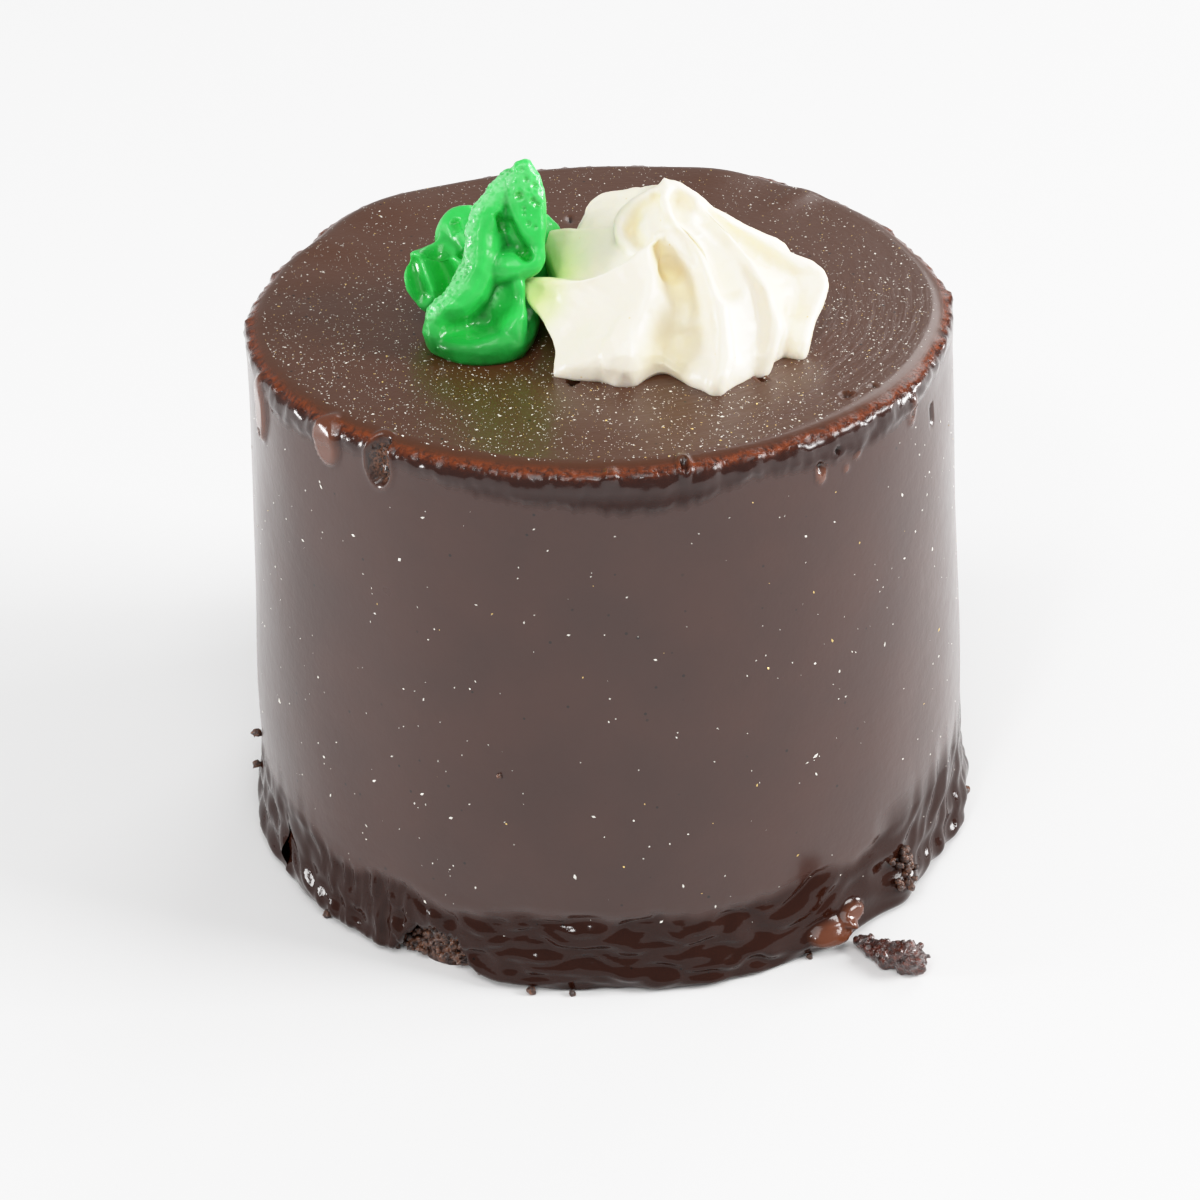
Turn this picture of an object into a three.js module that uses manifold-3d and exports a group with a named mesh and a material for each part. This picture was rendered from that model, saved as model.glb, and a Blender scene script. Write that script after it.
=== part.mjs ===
// A single-portion chocolate torte: a round sponge under poured chocolate icing, which ends in an uneven foot,
// with a swirl of white cream and a ruffled swirl of green cream piped on top, and a few crumbs at its side.
// Millimetres, +Z up. The origin is the middle of the flat underside, and -Y is the front.
import * as THREE from "three";
import { mergeVertices } from "three/addons/utils/BufferGeometryUtils.js";
import { ConvexGeometry } from "three/addons/geometries/ConvexGeometry.js";
import Module from "manifold-3d";

const wasm = await Module();
wasm.setup();

// Driving dimensions
const CAKE_HEIGHT = 57;
const SHOULDER_RADIUS = 35; // of the side, just under the rim
const RIM_BEND = 2.2; // radius of the rounded rim
const FOOT_RADIUS = 37.9; // of the icing that has pooled round the bottom
const ICING_WALL = 2; // on the top; about as thick on the side
const CORE_FOOT_RADIUS = 35.3; // of the sponge
const CORE_TOP_RADIUS = 32.6;
const ICING_CLEARANCE = 0.4; // under the icing's lowest edge, as the sponge carries the cake
const GAP = 0.3; // between neighbouring solids

const WHITE_HEIGHT = 14.2;
const GREEN_HEIGHT = 17;

const deg = THREE.MathUtils.degToRad;
const lerp = THREE.MathUtils.lerp;

// Shortest turn from angle b to angle a, in radians.
function turnBetween(a, b) {
  return Math.atan2(Math.sin(a - b), Math.cos(a - b));
}

// 1 at the middle of a bump, falling to 0 at about twice its half width.
function bump(distance, halfWidth) {
  return Math.exp(-((distance / halfWidth) ** 2));
}

// Value at x of a smooth curve through [x, value] stations.
function through(stations, x) {
  const last = stations.length - 1;
  let i = 0;
  while (i < last - 1 && x > stations[i + 1][0]) i++;
  const [x0, a] = stations[i];
  const [x1, b] = stations[i + 1];
  const slope = (k) => {
    const lo = stations[Math.max(k - 1, 0)];
    const hi = stations[Math.min(k + 1, last)];
    return ((hi[1] - lo[1]) / (hi[0] - lo[0])) * (x1 - x0);
  };
  const t = THREE.MathUtils.clamp((x - x0) / (x1 - x0), 0, 1);
  const t2 = t * t;
  const t3 = t2 * t;
  return (2 * t3 - 3 * t2 + 1) * a + (t3 - 2 * t2 + t) * slope(i) + (3 * t2 - 2 * t3) * b + (t3 - t2) * slope(i + 1);
}

// A closed skin over rings of points, from the pole point before the first ring to the one after the last.
// Every ring runs the same way round: anticlockwise seen from the last pole.
function skinned(firstPole, rings, lastPole) {
  const count = rings[0].length;
  const points = [firstPole, ...rings.flat(), lastPole];
  const index = [];
  const at = (ring, k) => 1 + ring * count + (k % count);
  for (let k = 0; k < count; k++) {
    index.push(0, at(0, k + 1), at(0, k));
    for (let ring = 0; ring + 1 < rings.length; ring++) {
      index.push(at(ring, k), at(ring, k + 1), at(ring + 1, k + 1));
      index.push(at(ring, k), at(ring + 1, k + 1), at(ring + 1, k));
    }
    index.push(at(rings.length - 1, k), at(rings.length - 1, k + 1), points.length - 1);
  }
  return new THREE.BufferGeometry().setFromPoints(points).setIndex(index);
}

// Ring of points at the angles of a circle cut into count steps.
function ring(count, pointAt) {
  return Array.from({ length: count }, (_, k) => pointAt((2 * Math.PI * k) / count));
}

function polar(angle, radius, z) {
  return new THREE.Vector3(radius * Math.cos(angle), radius * Math.sin(angle), z);
}

// ---- The cake's outline -------------------------------------------------------------------------------------

const ROUND_STEPS = 112;

// Places where the icing set thicker on the rim: angle, half width in degrees, and how far it stands out and up.
const RIM_LUMPS = [
  { angle: 182, half: 5, out: 0.1, up: 0.1 },
  { angle: 167, half: 6, out: -0.6, up: 0.1 },
  { angle: 152, half: 7, out: -1.1, up: 0.3 },
  { angle: 133, half: 12, out: 0.5, up: 0.6 },
  { angle: 66, half: 9, out: 0.1, up: 0.5 },
  { angle: 48, half: 4, out: 0.1, up: 0.3 },
  { angle: 19, half: 12, out: -0.8, up: 0 },
  { angle: -20, half: 9, out: -0.3, up: 0 },
  { angle: -62, half: 16, out: -0.2, up: -0.2 },
  { angle: -92, half: 12, out: 0.2, up: -0.1 },
  { angle: 225, half: 14, out: -0.2, up: 0.1 },
];

// Places where the icing ran down and pooled at the foot: angle, half width in degrees, how far out and how high.
const FOOT_DRIPS = [
  { angle: 196, half: 7, out: 0.6, high: 5 },
  { angle: 214, half: 6, out: 0.3, high: 7 },
  { angle: 258, half: 7, out: 0.5, high: 4 },
  { angle: 284, half: 8, out: 0.4, high: 5 },
  { angle: 304, half: 4, out: 1.0, high: 3 },
  { angle: 320, half: 4, out: 1.1, high: 5 },
  { angle: 345, half: 8, out: 0.5, high: 8 },
  { angle: 30, half: 9, out: 0.6, high: 6 },
  { angle: 72, half: 8, out: 0.5, high: 5 },
  { angle: 118, half: 9, out: 0.6, high: 6 },
  { angle: 158, half: 7, out: 0.4, high: 5 },
];

// The place at the foot where no icing reached and the crumb shows.
const BARE_PATCH = { angle: deg(-119), half: deg(6), height: 4.2 };

// Height and radius of the side, from the foot to the shoulder.
const SIDE = [
  [0, FOOT_RADIUS - 0.4],
  [1.5, FOOT_RADIUS],
  [5, 37.4],
  [9, 37.1],
  [16, 37],
  [28, 36.3],
  [40, 35.6],
  [CAKE_HEIGHT - 4, SHOULDER_RADIUS],
];

function rimLump(angle, what) {
  return RIM_LUMPS.reduce((sum, m) => sum + m[what] * bump(turnBetween(angle, deg(m.angle)), deg(m.half)), 0);
}

function footSwell(angle, z) {
  const drips = FOOT_DRIPS.reduce(
    (sum, d) => sum + d.out * bump(turnBetween(angle, deg(d.angle)), deg(d.half)) * bump(z - 1, d.high),
    0,
  );
  const folds = 0.35 * Math.sin(9 * angle + 0.8 * z) * Math.sin(1.1 * z + 4 * angle) * bump(z - 2, 5);
  return drips + folds;
}

// Radius of the sponge's side, a plain taper.
function coreRadius(z) {
  return lerp(CORE_FOOT_RADIUS, CORE_TOP_RADIUS, z / CAKE_HEIGHT);
}

// Height of the icing's lower edge: a ragged line just off the surface, higher over the bare patch.
function hemHeight(angle) {
  const off = turnBetween(angle, BARE_PATCH.angle) / BARE_PATCH.half;
  return ICING_CLEARANCE + BARE_PATCH.height * Math.exp(-(off ** 4)) + 0.2 * Math.sin(7 * angle) ** 2;
}

// Radius of the icing's outer face at a height on the side.
function sideRadius(angle, z) {
  const lumps = rimLump(angle, "out") * bump(CAKE_HEIGHT - 3 - z, 5);
  return through(SIDE, z) + footSwell(angle, z) + lumps;
}

// The rounded rim: turn runs from 0 at the side to 1 on the flat top.
function rimPoint(angle, turn) {
  const quarter = (turn * Math.PI) / 2;
  const out = SHOULDER_RADIUS - RIM_BEND * (1 - Math.cos(quarter)) + rimLump(angle, "out") * (1 - 0.5 * turn);
  const raised = rimLump(angle, "up") * (0.4 + 0.6 * Math.sin(quarter));
  return polar(angle, out, CAKE_HEIGHT - RIM_BEND * (1 - Math.sin(quarter)) + raised);
}

// The top: nearly flat, a little higher at the edge where the icing stood up.
function topPoint(angle, share) {
  const edge = rimPoint(angle, 1);
  const radius = Math.hypot(edge.x, edge.y) * share;
  const raised = (edge.z - CAKE_HEIGHT) * bump(1 - share, 0.16);
  return polar(angle, radius, CAKE_HEIGHT + raised);
}

function icingGeometry() {
  const inside = CAKE_HEIGHT - ICING_WALL;
  const innerRadius = (z) => coreRadius(z) + GAP;
  const rings = [
    ring(ROUND_STEPS, (a) => polar(a, innerRadius(inside), inside)),
    ring(ROUND_STEPS, (a) => polar(a, innerRadius(9), 9)),
    ring(ROUND_STEPS, (a) => polar(a, innerRadius(hemHeight(a)), hemHeight(a))),
    ring(ROUND_STEPS, (a) => polar(a, sideRadius(a, hemHeight(a)) - 0.7, hemHeight(a))),
  ];
  for (const z of [0.9, 2.2, 4, 6.2, 9, 14, 24, 38, CAKE_HEIGHT - 6, CAKE_HEIGHT - RIM_BEND]) {
    const level = (a) => Math.max(z, hemHeight(a) + 0.25 + 0.1 * z);
    rings.push(ring(ROUND_STEPS, (a) => polar(a, sideRadius(a, level(a)), level(a))));
  }
  for (const turn of [0.33, 0.67, 1]) rings.push(ring(ROUND_STEPS, (a) => rimPoint(a, turn)));
  for (const share of [0.93, 0.84, 0.6]) rings.push(ring(ROUND_STEPS, (a) => topPoint(a, share)));
  return skinned(new THREE.Vector3(0, 0, inside), rings, new THREE.Vector3(0, 0, CAKE_HEIGHT));
}

// The sponge under the icing. At the bare patch its crumb swells out to the cake's face.
function spongeGeometry() {
  const high = CAKE_HEIGHT - ICING_WALL - GAP;
  const crumb = (angle, z) => {
    const off = turnBetween(angle, BARE_PATCH.angle) / (0.62 * BARE_PATCH.half);
    const filled = Math.exp(-(off ** 4)) * (z < 0.7 * BARE_PATCH.height ? 1 : 0);
    return (1.5 + 0.3 * Math.sin(60 * angle + 3 * z)) * filled;
  };
  const rings = [0, 1.2, 2.4, 3.5, high - 2, high - 0.6, high].map((z) => {
    const rounded = Math.max(0, (z - high + 2) / 2) ** 2;
    return ring(ROUND_STEPS, (a) => polar(a, coreRadius(z) - 1.4 * rounded + crumb(a, z), z));
  });
  return skinned(new THREE.Vector3(0, 0, 0), rings, new THREE.Vector3(0, 0, high));
}

// ---- Piped cream --------------------------------------------------------------------------------------------

// A swirl from a star nozzle. Each ridge runs from its foot, out over its shoulder, and in to the peak.
// ridge: angle in degrees; shoulder = [reach, height]; foot = reach on the cake; fall = how fast the ridge drops from
// the peak, 1 for a straight slope; blunt = how square its end is, below 1; waist =
// reach where the ridge is undercut; groove = share of the usual depth on its anticlockwise side; twist and bow = degrees that it has turned at the peak and half way in.
function ridgePoint(ridge, s, height) {
  const [reach, high] = ridge.shoulder;
  const up = Math.min(s / SHOULDER_AT, 1);
  const inward = Math.max(s - SHOULDER_AT, 0) / (1 - SHOULDER_AT);
  const top = 0.95 * reach;
  const end = ridge.waist
    ? through([[0, ridge.foot], [0.28, ridge.waist], [0.56, reach * (ridge.blunt ?? 0.97)], [0.78, reach], [1, top]], up)
    : lerp(ridge.foot, top, up);
  const radius = inward > 0 ? lerp(top, 0.4, inward) : end;
  const rise = high * through([[0, 0], [0.28, 0.24], [0.56, 0.52], [0.78, 0.84], [1, 1]], up);
  const z = inward > 0 ? lerp(high, height, inward ** ridge.fall) : rise;
  const turn = ridge.twist * inward ** 1.3 + (ridge.bow ?? 0) * Math.sin(Math.PI * inward);
  return { angle: deg(ridge.angle + turn), radius, z };
}

function pipedSwirl({ height, lean, ridges, groove, hollow, stepsPerRidge, levels }) {
  const rings = levels.map((s) => {
    const depth = groove * through([[0, 0.7], [0.2, 0.85], [0.4, 1], [0.8, 1], [1, 0.4]], s);
    return ridges.flatMap((ridge, i) => {
      const a = ridgePoint(ridge, s, height);
      const b = ridgePoint(ridges[(i + 1) % ridges.length], s, height);
      const span = b.angle - a.angle + (i === ridges.length - 1 ? 2 * Math.PI : 0);
      const deep = depth * (ridge.groove ?? 1) * Math.min(span / deg(360 / ridges.length), 1.25);
      return Array.from({ length: stepsPerRidge }, (_, k) => {
        const w = k / stepsPerRidge;
        const arch = lerp(Math.sin(Math.PI * w), Math.sin(Math.PI * w) ** 2, 0.35);
        const radius = lerp(a.radius, b.radius, w) * (1 - deep * arch);
        const z = Math.max(lerp(a.z, b.z, w) - hollow * arch * Math.sin(Math.PI * s), 0);
        const tilt = (z / height) ** 1.2;
        return polar(a.angle + span * w, radius, z).add(new THREE.Vector3(lean[0] * tilt, lean[1] * tilt, 0));
      });
    });
  });
  return skinned(new THREE.Vector3(0, 0, 0), rings, new THREE.Vector3(lean[0], lean[1], height));
}

const SHOULDER_AT = 0.36; // how far along its run a ridge reaches its shoulder

const WHITE_REACH = 14.8;
const WHITE_RIDGES = [
  { angle: 5, shoulder: [14.7, 5.4], foot: 13.6, waist: 13.2, fall: 0.95, twist: 62 },
  { angle: 46, shoulder: [14, 5.4], foot: 13.8, waist: 13, fall: 1, twist: 60 },
  { angle: 86, shoulder: [14, 5.8], foot: 13.6, waist: 12.8, fall: 1, twist: 54 },
  { angle: 121, shoulder: [14.6, 7.6], foot: 13.6, waist: 13, fall: 0.9, twist: 34 },
  { angle: 149, shoulder: [14.7, 6.6], foot: 14.4, waist: 14.2, fall: 2, twist: 24 },
  { angle: 187, shoulder: [14.6, 5.6], foot: 11.8, waist: 11, fall: 2.6, twist: 42, blunt: 0.88 },
  { angle: 222, shoulder: [13.6, 3], foot: 15.2, fall: 1.5, twist: 44, groove: 0.45 },
  { angle: 282, shoulder: [10.4, 7.6], foot: 14.6, fall: 0.85, twist: 10, bow: 14 },
  { angle: 317, shoulder: [13.4, 4.4], foot: 14.4, fall: 1.1, twist: 30, groove: 0.5 },
];

const WHITE_SWIRL = {
  height: WHITE_HEIGHT,
  lean: [-0.9, 1.2],
  ridges: WHITE_RIDGES,
  groove: 0.27,
  hollow: 0.6,
  stepsPerRidge: 7,
  levels: [0, 0.1, 0.19, 0.28, 0.35, 0.42, 0.5, 0.58, 0.66, 0.74, 0.81, 0.87, 0.92, 0.97],
};

// The green cream came out as torn folds about a leaning core. Each fold is a sheet from its crest in to the core.
// crest: stations from the top down, in millimetres from the middle of its foot; thick: radius of the rounded edge
// at the crest's two ends.
const GREEN_FOLDS = [
  { name: "main", thick: [1, 1.9], crest: [[4.5, 0.8, 15.9], [1, -0.3, 13.7], [-0.8, -1.8, 10.2], [-2.4, -3.6, 6.2], [-4.2, -4.1, 3], [-4, -3.9, 1.6]] },
  { name: "flap", thick: [0.9, 0.9], crest: [[4.8, 1, 16.1], [5.7, 1.5, 14.4], [5.9, 1.4, 11.4], [5.2, 1.2, 7]] },
  { name: "lip", thick: [0.8, 1.2], crest: [[3, -1.2, 11.6], [4.8, -1.9, 9.6], [5.1, -2, 7.9], [3, -2.4, 6.8]] },
  { name: "front", thick: [1.1, 2], crest: [[4, -2.4, 7], [3.2, -4.2, 5.2], [2.6, -5.8, 3.2], [2.2, -6.4, 1.6]] },
  { name: "foot", thick: [1.5, 1.5], crest: [[-3.8, -4.6, 1.4], [-1.8, -6.3, 1.2], [0.6, -7.1, 1.2], [3, -6, 1.3], [4.4, -3, 1.3], [4.6, 0.6, 1.2]] },
  { name: "curl_outer", thick: [0.6, 0.8], crest: [[-6, 3, 6.2], [-7, 2, 5], [-6.8, 1.2, 3.2], [-5.6, 1, 0.8]] },
  { name: "curl_inner", thick: [0.6, 0.9], crest: [[-5.8, 2.6, 6.3], [-5, 0.8, 4.4], [-4.2, -0.6, 1]] },
  { name: "back_left", thick: [1.4, 1.3], crest: [[-1.6, 6.2, 8.4], [-2.8, 6.8, 6.2], [-2.6, 7, 3], [-2.4, 6.8, 1.2]] },
  { name: "back", thick: [1.3, 1.4], crest: [[2.4, 6.4, 8.4], [2.8, 7.4, 5], [2.6, 7.4, 1.2]] },
  { name: "back_right", thick: [1, 1.2], crest: [[6.2, 6.6, 7.8], [7, 6.6, 6], [6, 6, 1.2]] },
];

const GREEN_LEAN = [4.6, 1]; // how far the core leans over at its top
const GREEN_STEPS = 5; // along each fold

function greenCore(z) {
  const t = THREE.MathUtils.clamp(z / GREEN_HEIGHT, 0, 1);
  return new THREE.Vector3(GREEN_LEAN[0] * t ** 1.3, GREEN_LEAN[1] * t + 1.2 * Math.sin(Math.PI * t), z);
}

// Corner points of a coarse ball, for hulls.
function ballPoints(centre, radius) {
  const corners = new THREE.IcosahedronGeometry(radius, 0).attributes.position;
  return Array.from({ length: corners.count }, (_, i) => new THREE.Vector3().fromBufferAttribute(corners, i).add(centre));
}

// One fold, as hulls over neighbouring stations of its crest and of the core beside them.
function foldSolid({ crest, thick }) {
  const curve = new THREE.CatmullRomCurve3(crest.map((point) => new THREE.Vector3(...point)));
  const edge = curve.getPoints(GREEN_STEPS);
  const stations = edge.map((point, i) => {
    const radius = lerp(thick[0], thick[1], i / GREEN_STEPS);
    const root = greenCore(Math.min(point.z * 0.85, GREEN_HEIGHT - 4)).lerp(point, 0.12);
    return [...ballPoints(point, radius), ...ballPoints(root, radius + 0.4)];
  });
  const hulls = stations.slice(1).map((points, i) => solidOf(new ConvexGeometry([...stations[i], ...points])));
  return hulls.reduce((whole, hull) => whole.add(hull));
}

// The folds run together, cut off flat underneath and kept clear of a neighbour.
function greenGeometry(neighbour) {
  const folds = GREEN_FOLDS.map(foldSolid).reduce((whole, fold) => whole.add(fold));
  return geometryOf(folds.trimByPlane([0, 0, 1], 0).subtract(neighbour));
}

// ---- Crumbs -------------------------------------------------------------------------------------------------

// A short string of iced crumb that fell beside the foot, as small lumps run together.
function crumbGeometry() {
  const start = new THREE.Vector3(24.6, -32.3, 0);
  const end = new THREE.Vector3(29, -35.6, 0);
  const lumps = 9;
  let whole = null;
  for (let i = 0; i < lumps; i++) {
    const t = i / (lumps - 1);
    const size = 0.95 + 0.75 * t ** 2 + 0.2 * Math.sin(5 * i);
    const lump = new THREE.IcosahedronGeometry(size, 1);
    const centre = start.clone().lerp(end, t);
    centre.z = size * 0.8;
    lump.rotateX(i).rotateZ(2 * i).translate(centre.x + 0.4 * Math.sin(3 * i), centre.y + 0.4 * Math.cos(4 * i), centre.z);
    const solid = solidOf(lump);
    whole = whole ? whole.add(solid) : solid;
  }
  return geometryOf(whole.trimByPlane([0, 0, 1], 0));
}

function solidOf(geometry) {
  const bare = geometry.clone();
  bare.deleteAttribute("normal");
  bare.deleteAttribute("uv");
  const merged = mergeVertices(bare, 1e-4);
  const triVerts = new Uint32Array(merged.index.array);
  return new wasm.Manifold(new wasm.Mesh({ numProp: 3, vertProperties: merged.attributes.position.array, triVerts }));
}

function geometryOf(solid) {
  const mesh = solid.getMesh();
  return new THREE.BufferGeometry()
    .setAttribute("position", new THREE.BufferAttribute(mesh.vertProperties, mesh.numProp))
    .setIndex(new THREE.BufferAttribute(mesh.triVerts, 1));
}

// ---- The torte ----------------------------------------------------------------------------------------------

function piece(name, geometry, color, roughness, place = [0, 0, 0]) {
  geometry.computeVertexNormals();
  const mesh = new THREE.Mesh(geometry, new THREE.MeshStandardMaterial({ color, roughness, metalness: 0 }));
  mesh.name = name;
  mesh.position.set(...place);
  return mesh;
}

const torte = new THREE.Group();
torte.add(piece("sponge", spongeGeometry(), 0x3a1d12, 0.9));
torte.add(piece("icing", icingGeometry(), 0x2b1410, 0.25));
torte.add(piece("fallen_crumbs", crumbGeometry(), 0x35160d, 0.4));

const whiteGeometry = pipedSwirl(WHITE_SWIRL);
const whitePlace = new THREE.Vector3(7.5, -6.5, CAKE_HEIGHT + GAP);
const greenPlace = new THREE.Vector3(-11.5, -5.5, CAKE_HEIGHT + GAP);
torte.add(piece("white_swirl", whiteGeometry, 0xf6f1df, 0.5, whitePlace.toArray()));

// The white swirl, a gap's width larger all round, is cut out of the green one.
const grow = 1 + (2.5 * GAP) / WHITE_REACH;
const offset = whitePlace.clone().sub(greenPlace);
const room = whiteGeometry.clone().translate(0, 0, -0.1).scale(grow, grow, 1.05).translate(...offset.toArray());
torte.add(piece("green_swirl", greenGeometry(solidOf(room)), 0x2fb552, 0.25, greenPlace.toArray()));

export default torte;
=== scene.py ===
"""A single-portion chocolate torte with a white and a green swirl of cream, dressed round its solid model.

Sizes inside the classes are in millimetres, measured from the middle of the cake's underside, and angles
are in degrees anticlockwise from +X. Meshes are written in metres.
"""

import logging
import math
import random
from collections.abc import Callable, Sequence
from dataclasses import dataclass
from enum import Enum

import bmesh
import bpy
from mathutils import Matrix, Vector, noise


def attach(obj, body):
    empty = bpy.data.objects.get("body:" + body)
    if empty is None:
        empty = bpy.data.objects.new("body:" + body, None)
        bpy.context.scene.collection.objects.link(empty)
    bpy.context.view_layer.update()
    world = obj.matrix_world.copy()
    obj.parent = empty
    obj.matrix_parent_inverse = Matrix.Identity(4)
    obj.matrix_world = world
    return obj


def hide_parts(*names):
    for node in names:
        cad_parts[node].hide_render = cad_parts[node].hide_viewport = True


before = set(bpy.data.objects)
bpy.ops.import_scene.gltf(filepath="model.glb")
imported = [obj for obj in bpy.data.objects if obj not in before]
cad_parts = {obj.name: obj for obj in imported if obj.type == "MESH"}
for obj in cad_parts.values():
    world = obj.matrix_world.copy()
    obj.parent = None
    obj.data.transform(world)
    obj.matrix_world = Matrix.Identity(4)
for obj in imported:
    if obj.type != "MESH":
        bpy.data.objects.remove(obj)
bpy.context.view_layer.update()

LOG = logging.getLogger("torte")
MM = 0.001
BODY = "root"
PRESSED = Vector((0.0, 0.855, -0.518))  # The way in which creases and bubbles are pressed into the cream.

Point = tuple[float, float, float]
Colour = tuple[float, float, float]
Stations = tuple[tuple[float, float], ...]
Placed = tuple[Point, dict[str, float]]
Marked = tuple[float, dict[str, float]]
Ball = tuple[Vector, float]
Flake = tuple[Vector, Vector, float]
Moulding = Callable[[bmesh.types.BMesh], None]
Sockets = dict[str | int, object]


# ---- Small sums --------------------------------------------------------------------------------------------


def lerp(a: float, b: float, share: float) -> float:
    """Value a share of the way from a to b."""
    return a + (b - a) * share


def bump(distance: float, half: float) -> float:
    """1 at the middle of a bump, falling smoothly to 0 at about twice its half width."""
    return math.exp(-((distance / half) ** 2))


def ease(low: float, high: float, x: float) -> float:
    """0 at low and 1 at high, with a smooth rise between; low may be the larger."""
    t = min(max((x - low) / (high - low), 0.0), 1.0)
    return t * t * (3 - 2 * t)


def turn_between(a: float, b: float) -> float:
    """Shortest turn from angle b to angle a, in degrees."""
    return (a - b + 180) % 360 - 180


def grain(x: float, y: float, z: float) -> float:
    """Smooth noise from about -1 to 1, with features about one unit across."""
    return noise.noise(Vector((x, y, z)))


def spread(start: float, stop: float, step: float) -> list[float]:
    """Even values from start up to stop, about a step apart, without stop."""
    count = max(round(abs(stop - start) / step), 1)
    return [lerp(start, stop, i / count) for i in range(count)]


def through(stations: Sequence[tuple[float, float]], x: float) -> float:
    """Value at x of a smooth curve through stations of x and value.

    Args:
        stations: pairs of x and value, in rising order of x.
        x: where the value is wanted; it is held inside the stations.

    Returns:
        The value of the curve at x.
    """
    last = len(stations) - 1
    i = 0
    while i < last - 1 and x > stations[i + 1][0]:
        i += 1
    (x0, a), (x1, b) = stations[i], stations[i + 1]

    def slope(k: int) -> float:
        """Slope of the curve at station k, over the span in hand."""
        low, high = stations[max(k - 1, 0)], stations[min(k + 1, last)]
        return (high[1] - low[1]) / (high[0] - low[0]) * (x1 - x0)

    t = min(max((x - x0) / (x1 - x0), 0.0), 1.0)
    t2, t3 = t * t, t * t * t
    return (
        (2 * t3 - 3 * t2 + 1) * a
        + (t3 - 2 * t2 + t) * slope(i)
        + (3 * t2 - 2 * t3) * b
        + (t3 - t2) * slope(i + 1)
    )


def curve(stations: Sequence[Sequence[float]], share: float) -> list[float]:
    """Numbers at a share of the way along smooth curves through stations that each hold one number a curve.

    Args:
        stations: the stations, evenly spaced.
        share: from 0 at the first station to 1 at the last.

    Returns:
        One number for each curve.
    """
    last, curves = len(stations) - 1, range(len(stations[0]))
    return [through([(i / last, s[k]) for i, s in enumerate(stations)], share) for k in curves]


def nearest(line: Sequence[Point], point: Vector) -> Vector:
    """Point of a line of straight stretches that lies nearest to a point.

    Args:
        line: the line's corners.
        point: the point to measure from.

    Returns:
        The nearest place on the line.
    """
    found = Vector(line[0])
    for start, end in zip(line, line[1:]):
        first, span = Vector(start), Vector(end) - Vector(start)
        share = min(max((point - first).dot(span) / span.length_squared, 0.0), 1.0)
        here = first + span * share
        if (point - here).length_squared < (point - found).length_squared:
            found = here
    return found


def polar(angle: float, radius: float, z: float) -> Point:
    """Point at an angle in degrees, a radius and a height."""
    a = math.radians(angle)
    return (radius * math.cos(a), radius * math.sin(a), z)


# ---- Mesh making -------------------------------------------------------------------------------------------


def deselect() -> None:
    """Leaves nothing selected, so that the next operator acts on its own piece alone."""
    if bpy.context.object and bpy.context.object.mode != "OBJECT":
        bpy.ops.object.mode_set(mode="OBJECT")
    bpy.ops.object.select_all(action="DESELECT")


def take(piece: bpy.types.Object) -> None:
    """Makes a piece the only selected and the active object.

    Args:
        piece: the object that the next operator acts on.
    """
    deselect()
    piece.select_set(True)
    bpy.context.view_layer.objects.active = piece


def edit(piece: bpy.types.Object, action: Callable[[], None]) -> None:
    """Runs mesh operators on the whole of a piece in edit mode.

    Args:
        piece: the object to change.
        action: calls the operators.
    """
    take(piece)
    bpy.ops.object.mode_set(mode="EDIT")
    bpy.ops.mesh.select_all(action="SELECT")
    action()
    bpy.ops.object.mode_set(mode="OBJECT")


def modify(piece: bpy.types.Object, kind: str, **settings: object) -> None:
    """Adds a modifier with its settings and applies it.

    Args:
        piece: the object to change.
        kind: the modifier's type, such as SMOOTH.
        **settings: the modifier's properties.
    """
    take(piece)
    modifier = piece.modifiers.new(kind.lower(), kind)
    for name, value in settings.items():
        setattr(modifier, name, value)
    bpy.ops.object.modifier_apply(modifier=modifier.name)


def smooth(piece: bpy.types.Object) -> None:
    """Shades a piece smooth."""
    take(piece)
    bpy.ops.object.shade_smooth()


def close_up() -> None:
    """Welds what coincides and turns the faces outwards, in edit mode."""
    bpy.ops.mesh.remove_doubles(threshold=2e-6)
    bpy.ops.mesh.normals_make_consistent(inside=False)


def keep_values(piece: bpy.types.Object, **values: list[float]) -> None:
    """Keeps values at a piece's points for its finish."""
    for key, numbers in values.items():
        piece.data.attributes.new(key, "FLOAT", "POINT").data.foreach_set("value", numbers)


def wrapped(name: str, around: int, last: int, place: Callable[[float, int], Placed]) -> bpy.types.Object:
    """A closed skin made from a flat grid that is wrapped round an axis and welded.

    Args:
        name: the new object's name.
        around: steps round the axis.
        last: index of the last ring; the first and the last ring shrink to a point.
        place: gives the point in millimetres, and values to keep, for a share of a turn and a ring's index.

    Returns:
        The object, at the origin, in metres.
    """
    deselect()
    bpy.ops.mesh.primitive_grid_add(x_subdivisions=around, y_subdivisions=last, size=1)
    piece = bpy.context.object
    piece.name = piece.data.name = name
    kept: dict[str, list[float]] = {}
    flat: list[float] = []
    for vertex in piece.data.vertices:
        point, values = place(vertex.co.x + 0.5, round((vertex.co.y + 0.5) * last))
        flat.extend(c * MM for c in point)
        for key, value in values.items():
            kept.setdefault(key, []).append(value)
    piece.data.vertices.foreach_set("co", flat)
    keep_values(piece, **kept)
    edit(piece, close_up)
    smooth(piece)
    return piece


def linked(name: str, data: bpy.types.ID) -> bpy.types.Object:
    """A new object of the scene that shows a mesh, a light or a camera.

    Args:
        name: the object's name.
        data: what it shows.

    Returns:
        The object.
    """
    made = bpy.data.objects.new(name, data)
    bpy.context.scene.collection.objects.link(made)
    return made


def solid_of(name: str, build: Moulding) -> bpy.types.Object:
    """A new object whose mesh is built in a bmesh.

    Args:
        name: the new object's name.
        build: fills the bmesh, in millimetres.

    Returns:
        The object, at the origin, in metres.
    """
    piece = linked(name, bpy.data.meshes.new(name))
    made = bmesh.new()
    build(made)
    made.transform(Matrix.Scale(MM, 4))
    made.to_mesh(piece.data)
    made.free()
    return piece


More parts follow.
